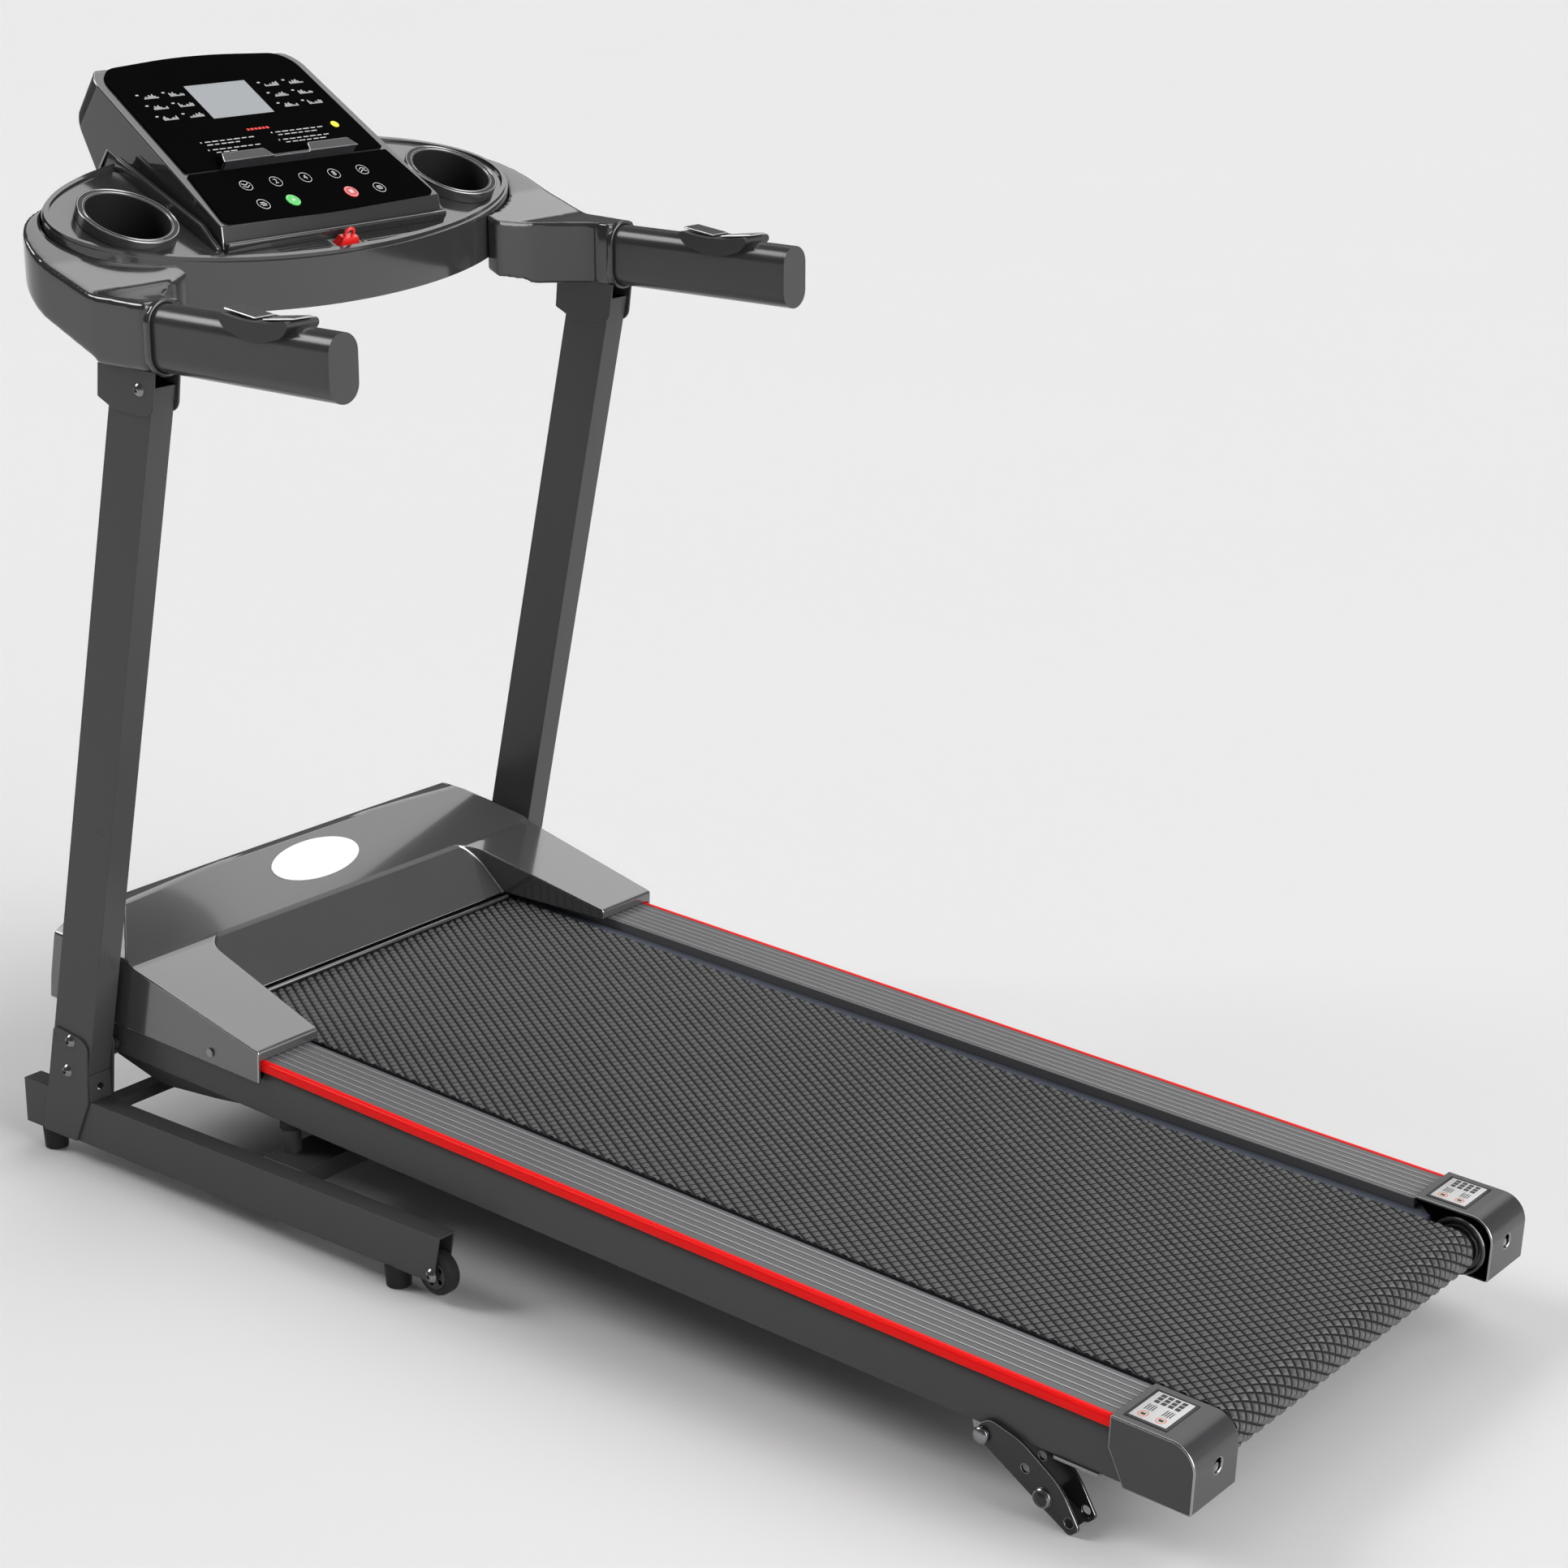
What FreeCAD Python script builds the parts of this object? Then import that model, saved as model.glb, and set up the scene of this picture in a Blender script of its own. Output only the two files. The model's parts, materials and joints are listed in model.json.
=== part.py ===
import FreeCAD, Part
import math
import os
from FreeCAD import Placement, Rotation, Vector

# Folding home treadmill. Millimetres, +X to the user's right, +Y towards the console,
# +Z up, origin on the floor under the middle of the machine.

DIMENSIONS = {
    # base frame on the floor
    "rail_wide": 22, "rail_high": 49, "rail_mid": 321, "rail_low": 23,
    "rail_front": 669, "rail_rear": 70, "rail_bevel": 10, "tube_wall": 2,
    "cross_high": 12, "cross_deep": 20, "front_cross_at": 548,
    "middle_cross_high": 20, "middle_cross_deep": 56, "middle_cross_at": 276,
    "foot_radius": 13.5, "foot_taper": 1.5, "foot_front_at": 637, "foot_rear_at": 136,
    "post_radius": 10, "post_side": 281, "post_at": 321, "post_high": 24, "buffer_high": 7.5,
    "wheel_radius": 22, "wheel_hub": 15, "wheel_wide": 15, "wheel_at": 82, "wheel_up": 30,
    "axle_radius": 4,
    # uprights and their brackets
    "upright_wide": 28, "upright_deep": 58, "upright_long": 748, "upright_low": 101,
    "upright_foot": 564, "lean": 12.4, "plate": 2.5, "bolt_radius": 7, "bolt_high": 4,
    "upper_bolt_at": 587, "upper_bolt_up": 135, "lower_bolt_at": 595, "lower_bolt_up": 100,
    "collar_bolt_at": 421, "collar_bolt_up": 829, "bracket_gap": 3, "pin_head": 6,
    # deck pivot and deck section, measured from the pivot
    "pivot_at": 569, "pivot_up": 125, "deck_tilt": 2.4, "pivot_radius": 6,
    "side_out": 290, "side_wide": 18, "side_top": 36, "side_bottom": -10, "side_chamfer": 12,
    "deck_front": 89, "deck_rear": -1285, "cap_start": -1212, "cap_end": -1294,
    "deck_bar_deep": 30, "deck_bar_drop": 3, "sheet": 3,
    "board_half": 240, "board_thick": 15, "board_long": 1140, "board_rear": -1230,
    "belt_half": 210, "belt_thick": 2,
    "roller_radius": 19, "roller_up": 17, "front_roller_at": -60, "rear_roller_at": -1262,
    "roller_axle": 8, "play": 0.3, "fit": 0.05,
    "rail_inner": 226, "rail_top": 46, "rail_lead": 130, "stripe_wide": 5, "cap_top": 49,
    "cap_out": 294, "adjuster_side": 257, "hole_radius": 6.5,
    # motor hood
    "hood_out": 296, "hood_rear": -220, "hood_nose": 95, "hood_wall": 3, "hood_skirt": 24,
    # motor and drive
    "motor_radius": 38, "motor_at": 44, "motor_up": 34, "motor_long": 150,
    "small_pulley": 13, "large_pulley": 26, "pulley_wide": 14, "pulley_side": 226,
    # folding feet under the rear of the deck
    "prop_pivot_at": -1092, "prop_pivot_up": -17, "prop_thick": 3, "prop_reach": 104,
    "prop_turn": 27.8, "prop_side": 279, "ear_gap": 12, "ear_thick": 2.5,
    # console
    "tray_half": 306, "tray_deep": 98, "tray_mid": 567, "tray_at": 469, "tray_up": 912,
    "tray_tilt": 25, "tray_thick": 44, "shell": 3, "arm_out": 341, "arm_in": 298,
    "cup_side": 222, "cup_along": 99, "cup_radius": 42, "cup_ring": 50, "cup_deep": 62,
    "cup_rise": 11,
    "panel_at": 503, "panel_up": 950, "panel_tilt": 33.5, "overlay_thick": 2,
    "key_radius": 8, "key_thick": 1.5, "key_pitch": 40, "key_gap": 0.4,
    "key_row_high": 49, "key_row_low": 20, "lcd_wide": 83, "lcd_high": 53, "lcd_at": 150.5,
    "lcd_gap": 0.2, "socket_wide": 39, "socket_deep": 19, "socket_wall": 3,
    # handlebars
    "grip_side": 319, "grip_wide": 36, "grip_high": 64, "grip_up": 878, "grip_rear": 165,
    "collar_rear": 398, "grip_wall": 3, "grip_seat": 60,
}

doc = FreeCAD.newDocument("treadmill")
sheet = doc.addObject("Spreadsheet::Sheet", "Sizes")
for row, (alias, value) in enumerate(DIMENSIONS.items(), start=1):
    sheet.set("A%d" % row, alias)
    sheet.set("B%d" % row, str(value))
    sheet.setAlias("B%d" % row, alias)
doc.recompute()

parts = []


def size(alias):
    """Value of one sheet cell."""
    return float(sheet.get(alias))


def bind(item, **expressions):
    """Tie properties of an object to sheet formulas."""
    for name, formula in expressions.items():
        item.setExpression(name, formula)


def keep(item, node):
    """Mark an object as a finished sub-part with its file name."""
    item.Label = node
    parts.append(item)
    return item


def cells(formula):
    """Write sheet aliases in a formula with the sheet's name."""
    words = ""
    word = ""
    for letter in formula + " ":
        if letter.isalnum() or letter == "_":
            word += letter
        else:
            words += ("Sizes." + word if word in DIMENSIONS else word) + letter
            word = ""
    return words.strip()


def box(name, length, width, height, corner, placement=None):
    """Part box with its three sides bound and a corner given as a vector."""
    item = doc.addObject("Part::Box", name)
    bind(item, Length=cells(length), Width=cells(width), Height=cells(height))
    item.Placement = (placement or Placement()).multiply(Placement(corner, Rotation()))
    return item


def rod(name, radius, height, start, direction, placement=None):
    """Part cylinder with bound radius and height, from a point along a direction."""
    item = doc.addObject("Part::Cylinder", name)
    bind(item, Radius=cells(radius), Height=cells(height))
    turn = Rotation(Vector(0, 0, 1), direction)
    item.Placement = (placement or Placement()).multiply(Placement(start, turn))
    return item


def cut(name, base, tool):
    item = doc.addObject("Part::Cut", name)
    item.Base = base
    item.Tool = tool
    return item


def common(name, *shapes):
    item = doc.addObject("Part::MultiCommon", name)
    item.Shapes = list(shapes)
    return item


def fuse(name, *shapes):
    item = doc.addObject("Part::MultiFuse", name)
    item.Shapes = list(shapes)
    return item


def group(name, *shapes):
    """Separate solids kept together as one sub-part."""
    item = doc.addObject("Part::Compound", name)
    item.Links = list(shapes)
    return item


def mirrored(name, source):
    """The same piece on the other side of the machine."""
    item = doc.addObject("Part::Mirroring", name)
    item.Source = source
    item.Base = Vector(0, 0, 0)
    item.Normal = Vector(1, 0, 0)
    return item


def outline(corners):
    """Lines and corner arcs through (a, b, radius) points, as a closed run of curves."""
    count = len(corners)
    spans = []
    for i in range(count):
        here = Vector(corners[i][0], corners[i][1], 0)
        back = Vector(corners[i - 1][0], corners[i - 1][1], 0) - here
        ahead = Vector(corners[(i + 1) % count][0], corners[(i + 1) % count][1], 0) - here
        radius = corners[i][2] if len(corners[i]) > 2 else 0
        back.normalize()
        ahead.normalize()
        if radius == 0:
            spans.append((here, None, here))
            continue
        half = back.getAngle(ahead) / 2
        reach = radius / math.tan(half)
        middle = (back + ahead)
        middle.normalize()
        arc_mid = here + middle * (radius / math.sin(half) - radius)
        spans.append((here + back * reach, arc_mid, here + ahead * reach))
    curves = []
    for i, (start, middle, end) in enumerate(spans):
        if middle is not None:
            curves.append(Part.Arc(start, middle, end))
        following = spans[(i + 1) % count][0]
        if (following - end).Length > 0.001:
            curves.append(Part.LineSegment(end, following))
    return curves


def plane_of(body, role):
    for feature in body.Origin.OriginFeatures:
        if feature.Role == role:
            return feature
    raise ValueError(role)


def sketch_on(body, role, curves):
    """Sketch on one of the body's own origin planes."""
    sketch = body.newObject("Sketcher::SketchObject", body.Name + "Sketch")
    sketch.AttachmentSupport = [(plane_of(body, role), "")]
    sketch.MapMode = "FlatFace"
    sketch.addGeometry(curves, False)
    return sketch


def slab(name, role, curves, depth, placement=None, offset=0.0):
    """PartDesign body: one outline padded by a bound depth, both ways from its plane."""
    body = doc.addObject("PartDesign::Body", name)
    sketch = sketch_on(body, role, curves)
    sketch.AttachmentOffset = Placement(Vector(0, 0, offset), Rotation())
    pad = body.newObject("PartDesign::Pad", name + "Pad")
    pad.Profile = sketch
    pad.SideType = "Symmetric"
    bind(pad, Length=cells(depth))
    body.Placement = placement or Placement()
    return body


def side_slab(name, corners, depth, middle, placement=None):
    """Side-view outline, (forward, up) points, centred at a sideways distance."""
    return slab(name, "YZ_Plane", outline(corners), depth, placement, middle)


upright_frame = Placement(Vector(0, size("upright_foot"), size("upright_low")),
                          Rotation(Vector(1, 0, 0), size("lean")))
deck_frame = Placement(Vector(0, size("pivot_at"), size("pivot_up")),
                       Rotation(Vector(1, 0, 0), size("deck_tilt")))
tray_frame = Placement(Vector(0, size("tray_at"), size("tray_up")),
                       Rotation(Vector(1, 0, 0), size("tray_tilt")))
panel_frame = Placement(Vector(0, size("panel_at"), size("panel_up")),
                        Rotation(Vector(1, 0, 0), size("panel_tilt")))


def both_sides(name, piece):
    """Left piece and its mirror image as two named sub-parts."""
    keep(mirrored(name + "Mirror", piece), name + "_right")
    return keep(piece, name + "_left")


def pair(name, *pieces):
    """Left pieces and their mirror images together as one sub-part."""
    copies = [mirrored("%sCopy%d" % (name, i), piece) for i, piece in enumerate(pieces)]
    return keep(group(name + "Group", *pieces, *copies), name)


# ---------------------------------------------------------------- base frame

def base_rails():
    low = size("rail_low")
    high = low + size("rail_high")
    rear = size("rail_rear")
    front = size("rail_front")
    wall = size("tube_wall")
    side = -size("rail_mid")
    section = [(rear, high), (front, high), (front, low), (rear + size("rail_bevel"), low)]
    bar = side_slab("RailBar", section, "rail_wide", side)
    hollow = box("RailHollow", "rail_wide - 2 * tube_wall", "rail_front - rail_rear + 40",
                 "rail_high - 2 * tube_wall",
                 Vector(side - size("rail_wide") / 2 + wall, rear - 20, low + wall))
    slot = box("WheelSlot", "rail_wide - 2 * tube_wall", "wheel_radius * 2 + 8", "tube_wall + 2",
               Vector(side - size("rail_wide") / 2 + wall, rear - 10, low - 1))
    axle = rod("AxleHole", "axle_radius + fit", "rail_wide + 10",
               Vector(side - 20, size("wheel_at"), size("wheel_up")), Vector(1, 0, 0))
    both_sides("base_rail", cut("RailCut", bar, fuse("RailTools", hollow, slot, axle)))


def cross_tubes():
    top = size("rail_low") + size("rail_high")
    reach = size("rail_mid") - size("rail_wide") / 2
    pieces = []
    for name, at, deep, high in (
            ("Front", "front_cross_at", "cross_deep", "cross_high"),
            ("Middle", "middle_cross_at", "middle_cross_deep", "middle_cross_high")):
        corner = Vector(-reach, size(at), top - size(high))
        outer = box(name + "Cross", "2 * rail_mid - rail_wide", deep, high, corner)
        inner = box(name + "Inside", "2 * rail_mid - rail_wide", deep + " - 2 * tube_wall",
                    high + " - 2 * tube_wall",
                    corner + Vector(0, size("tube_wall"), size("tube_wall")))
        pieces.append(cut(name + "CrossTube", outer, inner))
    keep(group("BaseCrossTubes", *pieces), "base_cross_tubes")


def rubber_feet():
    feet = []
    for side in (-1, 1):
        for at in ("foot_front_at", "foot_rear_at"):
            foot = doc.addObject("Part::Cone", "Foot")
            bind(foot, Radius1=cells("foot_radius - foot_taper"), Radius2=cells("foot_radius"),
                 Height=cells("rail_low"))
            foot.Placement.Base = Vector(side * size("rail_mid"), size(at), 0)
            feet.append(foot)
        buffer_low = size("rail_low") + size("rail_high") + size("post_high")
        feet.append(rod("Buffer", "post_radius + 1", "buffer_high",
                        Vector(side * size("post_side"), size("post_at"), buffer_low),
                        Vector(0, 0, 1)))
    keep(group("RubberFeet", *feet), "rubber_feet")


def rest_posts():
    low = size("rail_low") + size("rail_high")
    post = rod("Post", "post_radius", "post_high",
               Vector(-size("post_side"), size("post_at"), low), Vector(0, 0, 1))
    pair("rest_posts", post)


def wheels():
    side = -size("rail_mid")
    half = size("wheel_wide") / 2
    start = Vector(side - half, size("wheel_at"), size("wheel_up"))
    along = Vector(1, 0, 0)
    hub = rod("Hub", "wheel_hub", "wheel_wide", start, along)
    bore = rod("HubBore", "axle_radius + fit", "wheel_wide + 2", start - along, along)
    windows = []
    for i in range(5):
        angle = math.radians(72 * i)
        offset = Vector(0, math.cos(angle), math.sin(angle)) * (size("wheel_hub") * 0.66)
        windows.append(rod("HubWindow", "wheel_hub * 0.18", "wheel_wide + 2",
                           start - along + offset, along))
    both_sides("transport_wheel", cut("HubCut", hub, fuse("HubTools", bore, *windows)))
    tyre = rod("Tyre", "wheel_radius", "wheel_wide", start, along)
    edge = doc.addObject("Part::Chamfer", "TyreEdge")
    edge.Base = tyre
    doc.recompute()
    rims = [i + 1 for i, curve in enumerate(tyre.Shape.Edges) if curve.Closed and curve.Length > 9]
    edge.Edges = [(i, 2.0, 2.0) for i in rims if tyre.Shape.Edges[i - 1].BoundBox.XLength < 0.1]
    eye = rod("TyreEye", "wheel_hub", "wheel_wide + 2", start - along, along)
    both_sides("wheel_tyre", cut("TyreCut", edge, eye))


def dome_bolt(name, place, radius="bolt_radius"):
    """Domed head with a hexagon socket, lying against a plate on the left side."""
    head = doc.addObject("Part::Sphere", name + "Dome")
    bind(head, Radius=cells(radius + " * 1.15"))
    head.Placement.Base = place + Vector(size(radius) * 0.58, 0, 0)
    seat = rod(name + "Seat", radius, "bolt_high + 8",
               place - Vector(size("bolt_high") + 8, 0, 0), Vector(1, 0, 0))
    socket = doc.addObject("Part::Prism", name + "Socket")
    socket.Polygon = 6
    bind(socket, Circumradius=cells(radius + " * 0.38"), Height=cells("bolt_high + 2"))
    socket.Placement = Placement(place - Vector(size("bolt_high") + 4, 0, 0),
                                 Rotation(Vector(0, 0, 1), Vector(1, 0, 0)))
    return cut(name + "Head", common(name + "Cap", head, seat), socket)


def stand_hardware():
    outer = -(size("rail_mid") + size("rail_wide") / 2)
    inner = -(size("rail_mid") - size("rail_wide") / 2)
    plate_face = outer - size("plate")
    wheel_spot = Vector(outer, size("wheel_at"), size("wheel_up"))
    along = Vector(1, 0, 0)
    heads = [dome_bolt(name + "Bolt", Vector(plate_face, size(name.lower() + "_bolt_at"),
                                             size(name.lower() + "_bolt_up")))
             for name in ("Upper", "Lower", "Collar")]
    heads.append(dome_bolt("WheelBolt", wheel_spot))
    axle = rod("WheelAxle", "axle_radius", "rail_wide + bolt_high", wheel_spot, along)
    nut = rod("AxleNut", "axle_radius + 3", "bolt_high",
              Vector(inner + size("bolt_high"), size("wheel_at"), size("wheel_up")),
              Vector(-1, 0, 0))
    pin_face = -(size("rail_mid") - size("upright_wide") / 2 - size("bracket_gap") - size("plate"))
    pin_start = Vector(pin_face, size("pivot_at"), size("pivot_up"))
    pin = rod("PivotPin", "pivot_radius", "side_wide + 16", pin_start, along)
    washer = rod("PivotWasher", "pivot_radius + 6", "pin_head", pin_start, along)
    pair("frame_bolts", *heads, fuse("WheelAxleBolt", axle, nut), fuse("PivotBolt", pin, washer))


def upright_brackets():
    outer = size("rail_mid") + size("rail_wide") / 2 + size("plate") / 2
    inner = (size("rail_mid") - size("upright_wide") / 2 - size("bracket_gap")
             - size("plate") / 2)
    profile = [(612, 146, 6), (639, 23, 0), (588, 23, 0), (566, 70, 2), (561, 140, 14)]
    outside = side_slab("BracketOutside", profile, "plate", -outer)
    flange = box("BracketFlange", "upright_wide", "plate", "upright_low - rail_low - rail_high",
                 Vector(-outer + size("plate") / 2, 563.5, 72))
    slot = rod("FlangeSlot", "4", "plate + 4", Vector(-318, 561.5, 86), Vector(0, 1, 0))
    inner_profile = [(612, 146, 6), (622, 73, 2), (563, 73, 2), (556, 140, 10)]
    inside = side_slab("BracketInside", inner_profile, "plate", -inner)
    pair("upright_brackets", outside, cut("FlangeCut", flange, slot), inside)


def uprights():
    wall = size("tube_wall")
    outer_face = -(size("rail_mid") + size("rail_wide") / 2)
    corner = Vector(outer_face, 0, 0)
    bar = box("UprightBar", "upright_wide", "upright_deep", "upright_long", corner, upright_frame)
    hollow = box("UprightHollow", "upright_wide - 2 * tube_wall", "upright_deep - 2 * tube_wall",
                 "upright_long + 20", corner + Vector(wall, wall, -10), upright_frame)
    both_sides("upright", cut("UprightTube", bar, hollow))


def upper_brackets():
    outer = size("rail_mid") + size("rail_wide") / 2 + size("plate") / 2
    inner = outer - size("upright_wide") - size("plate")
    profile = [(398, 848, 0), (477, 848, 0), (480, 816, 2), (458, 806, 2), (404, 804, 14)]
    outside = side_slab("CollarPlateOutside", profile, "plate", -outer)
    inside = side_slab("CollarPlateInside", profile, "plate", -inner)
    pair("upper_brackets", outside, inside)


# ---------------------------------------------------------------- deck

def deck_sides():
    out = size("side_out")
    inside = out - size("side_wide")
    top = size("side_top")
    bottom = size("side_bottom")
    chamfer = size("side_chamfer")
    wall = size("tube_wall")
    rear = size("deck_rear")
    section = [(-out, bottom), (-inside, bottom), (-inside, top),
               (-out + 7, top), (-out, top - chamfer)]
    length = "deck_front - deck_rear"
    middle = (size("deck_front") + rear) / 2
    bar = slab("SideBar", "XZ_Plane", outline(section), length, deck_frame, -middle)
    hollow = box("SideHollow", "side_wide - 2 * tube_wall", length + " + 40",
                 "side_top - side_bottom - 2 * tube_wall - side_chamfer",
                 Vector(-out + wall, rear - 20, bottom + wall), deck_frame)
    pin = rod("PinHole", "pivot_radius + fit", "side_wide + 10",
              Vector(-out - 5, 0, 0), Vector(1, 0, 0), deck_frame)
    both_sides("deck_side", cut("SideCut", bar, fuse("SideTools", hollow, pin)))


def deck_cross_tubes():
    half = size("side_out") - size("side_wide")
    wall = size("tube_wall")
    across = "2 * side_out - 2 * side_wide"
    high = "side_top - board_thick - deck_bar_drop"
    pieces = []
    for i, at in enumerate((-180, -460, -740, -1020)):
        corner = Vector(-half, at, size("deck_bar_drop"))
        outer = box("DeckCross%d" % i, across, "deck_bar_deep", high, corner, deck_frame)
        inner = box("DeckCrossInside%d" % i, across, "deck_bar_deep - 2 * tube_wall",
                    high + " - 2 * tube_wall", corner + Vector(0, wall, wall), deck_frame)
        pieces.append(cut("DeckCrossTube%d" % i, outer, inner))
    pieces.append(box("MotorTray", across, "deck_front", "sheet",
                      Vector(-half, 0, size("side_bottom")), deck_frame))
    keep(group("DeckCrossTubes", *pieces), "deck_cross_tubes")


def deck_board():
    top = size("side_top")
    corner = Vector(-size("board_half"), size("board_rear"), top - size("board_thick"))
    keep(box("DeckBoard", "2 * board_half", "board_long", "board_thick", corner, deck_frame),
         "deck_board")


def running_belt():
    front = size("front_roller_at")
    rear = size("rear_roller_at")
    up = size("roller_up")
    inner = size("roller_radius") + size("play")
    outer = inner + size("belt_thick")

    def loop(radius):
        return [(front, up + radius, 0), (front + radius, up + radius, radius - 0.01),
                (front + radius, up - radius, radius - 0.01), (front, up - radius, 0),
                (rear, up - radius, 0), (rear - radius, up - radius, radius - 0.01),
                (rear - radius, up + radius, radius - 0.01), (rear, up + radius, 0)]
    belt = side_slab("BeltOuter", loop(outer), "2 * belt_half", 0, deck_frame)
    void = side_slab("BeltInner", loop(inner), "2 * belt_half + 20", 0, deck_frame)
    keep(cut("Belt", belt, void), "running_belt")


def rollers():
    up = size("roller_up")
    for node, at in (("front_roller", "front_roller_at"), ("rear_roller", "rear_roller_at")):
        start = Vector(-size("belt_half") - 5, size(at), up)
        drum = rod(node + "Drum", "roller_radius", "2 * belt_half + 10", start,
                   Vector(1, 0, 0), deck_frame)
        tools = [rod(node + "Bore", "roller_axle + fit", "2 * belt_half + 30",
                     start - Vector(5, 0, 0), Vector(1, 0, 0), deck_frame)]
        for side in (-1, 1):
            for i in range(6):
                angle = math.radians(60 * i)
                spot = Vector(side * (size("belt_half") + 6), size(at), up)
                spot += Vector(0, math.cos(angle), math.sin(angle)) * 13.3
                tools.append(rod("%sWindow" % node, "3.2", "12", spot,
                                 Vector(-side, 0, 0), deck_frame))
        body = cut(node + "Body", drum, fuse(node + "Tools", *tools))
        if node == "front_roller":
            wheel_start = Vector(-size("pulley_side") - size("pulley_wide"), size(at), up)
            wheel = rod("RollerPulley", "large_pulley", "pulley_wide + 12", wheel_start,
                        Vector(1, 0, 0), deck_frame)
            eye = rod("RollerPulleyEye", "roller_axle + fit", "pulley_wide + 30",
                      wheel_start - Vector(5, 0, 0), Vector(1, 0, 0), deck_frame)
            neck = rod("PulleyNeck", "roller_radius - 2", "pulley_wide + 30",
                       wheel_start + Vector(size("pulley_wide"), 0, 0), Vector(1, 0, 0),
                       deck_frame)
            ring = cut("PulleyStep", wheel, cut("PulleyWaste", rod(
                "PulleyBlank", "large_pulley + 2", "20",
                wheel_start + Vector(size("pulley_wide"), 0, 0), Vector(1, 0, 0),
                deck_frame), neck))
            body = fuse("DrivenRoller", body, cut("PulleyRing", ring, eye))
        keep(body, node)


def foot_rails():
    inner = size("rail_inner")
    out = size("side_out") - size("stripe_wide")
    top = size("rail_top")
    start = size("cap_start")
    section = [(-out, size("side_top")), (-inner, size("side_top")), (-inner, top), (-out, top)]
    length = "0 - rail_lead - cap_start"
    middle = (start - size("rail_lead")) / 2
    both_sides("foot_rail", slab("FootRail", "XZ_Plane", outline(section), length, deck_frame,
                                 -middle))
    edge = [(-out - 6.5, size("side_top"), 0), (-out, size("side_top"), 0),
            (-out, top + 0.5, 0), (-out - 6.5, top + 0.5, 4)]
    pair("edge_stripes", slab("Stripe", "XZ_Plane", outline(edge), length, deck_frame, -middle))


def rear_end_caps():
    start = size("cap_start")
    end = size("cap_end")
    top = size("cap_top")
    bottom = size("side_bottom") - 2.4
    out = size("cap_out")
    inner = size("rail_inner") - 1
    profile = [(start, top, 0), (end, top, 24), (end, bottom, 3), (start - 17, bottom, 2),
               (start, 20, 0)]
    wide = "cap_out - rail_inner + 1"
    shell = side_slab("CapBlock", profile, wide, -(out + inner) / 2, deck_frame)
    void_profile = [(start + 10, size("rail_top"), 0), (end + 3, size("rail_top"), 22),
                    (end + 3, size("side_bottom") - 0.2, 2), (start + 10, size("side_bottom") - 0.2, 0)]
    void = side_slab("CapVoid", void_profile, wide,
                     -(out + inner) / 2 + (out - size("side_out")) - 0.2, deck_frame)
    hole = rod("CapHole", "hole_radius", "30",
               Vector(-size("adjuster_side"), end - 10, size("roller_up") + 2),
               Vector(0, 1, 0), deck_frame)
    pair("rear_end_caps", cut("CapShell", shell, fuse("CapTools", void, hole)))


def deck_hardware():
    up = size("roller_up")
    axle_half = size("side_out") - size("side_wide")
    pieces = []
    for name, at in (("Front", "front_roller_at"), ("Rear", "rear_roller_at")):
        pieces.append(rod(name + "Axle", "roller_axle", "2 * side_out - 2 * side_wide",
                          Vector(-axle_half, size(at), up), Vector(1, 0, 0), deck_frame))
    ear_low = size("side_bottom")
    ear_line = [(-1108, ear_low), (-1076, ear_low), (-1080, -25, 6), (-1104, -25, 6)]
    for side in (-1, 1):
        start = Vector(side * size("adjuster_side"),
                       size("rear_roller_at") - size("roller_axle"), up)
        pieces.append(rod("AdjustBolt", "4", "22", start, Vector(0, -1, 0), deck_frame))
        pieces.append(rod("HoodScrew", "4.5", "2", Vector(side * size("hood_out"), -151, 37),
                          Vector(side, 0, 0), deck_frame))
        middle = size("prop_side")
        for depth in (middle - 5, middle - 5 + size("ear_gap")):
            ear = side_slab("PropEar", ear_line, "ear_thick", side * depth, deck_frame)
            eye = rod("EarEye", "4 + fit", "8",
                      Vector(side * depth - 4, size("prop_pivot_at"), size("prop_pivot_up")),
                      Vector(1, 0, 0), deck_frame)
            pieces.append(cut("PropEarCut", ear, eye))
        pieces.append(box("PropStop", "26", "44", "sheet",
                          Vector(side * middle - 13, -1205, ear_low - size("sheet")),
                          deck_frame))
    keep(group("DeckHardware", *pieces), "deck_hardware")


def motor_drive():
    at = size("motor_at")
    up = size("motor_up")
    can = rod("MotorCan", "motor_radius", "motor_long", Vector(-200, at, up),
              Vector(1, 0, 0), deck_frame)
    bell = rod("MotorBell", "motor_radius * 0.55", "motor_long + 16", Vector(-208, at, up),
               Vector(1, 0, 0), deck_frame)
    tray = size("side_bottom") + size("sheet")
    saddle = box("MotorSaddle", "120", "54", "14", Vector(-185, at - 27, tray), deck_frame)
    bore = rod("MotorBore", "roller_axle + fit", "40", Vector(-215, at, up),
               Vector(1, 0, 0), deck_frame)
    keep(cut("MotorCut", fuse("Motor", can, bell, saddle), bore), "motor_body")
    wheel_start = Vector(-size("pulley_side") - size("pulley_wide"), at, up)
    wheel = rod("SmallPulley", "small_pulley", "pulley_wide", wheel_start, Vector(1, 0, 0),
                deck_frame)
    shaft = rod("MotorShaft", "roller_axle", "52", wheel_start, Vector(1, 0, 0), deck_frame)
    keep(fuse("MotorPulley", wheel, shaft), "motor_pulley")
    base = box("ControllerBase", "150", "70", "34", Vector(0, 8, tray), deck_frame)
    fins = [box("ControllerFin", "3", "60", "12", Vector(8 + 14 * i, 13, tray + 34), deck_frame)
            for i in range(10)]
    keep(fuse("Controller", base, *fins), "motor_controller")


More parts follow.
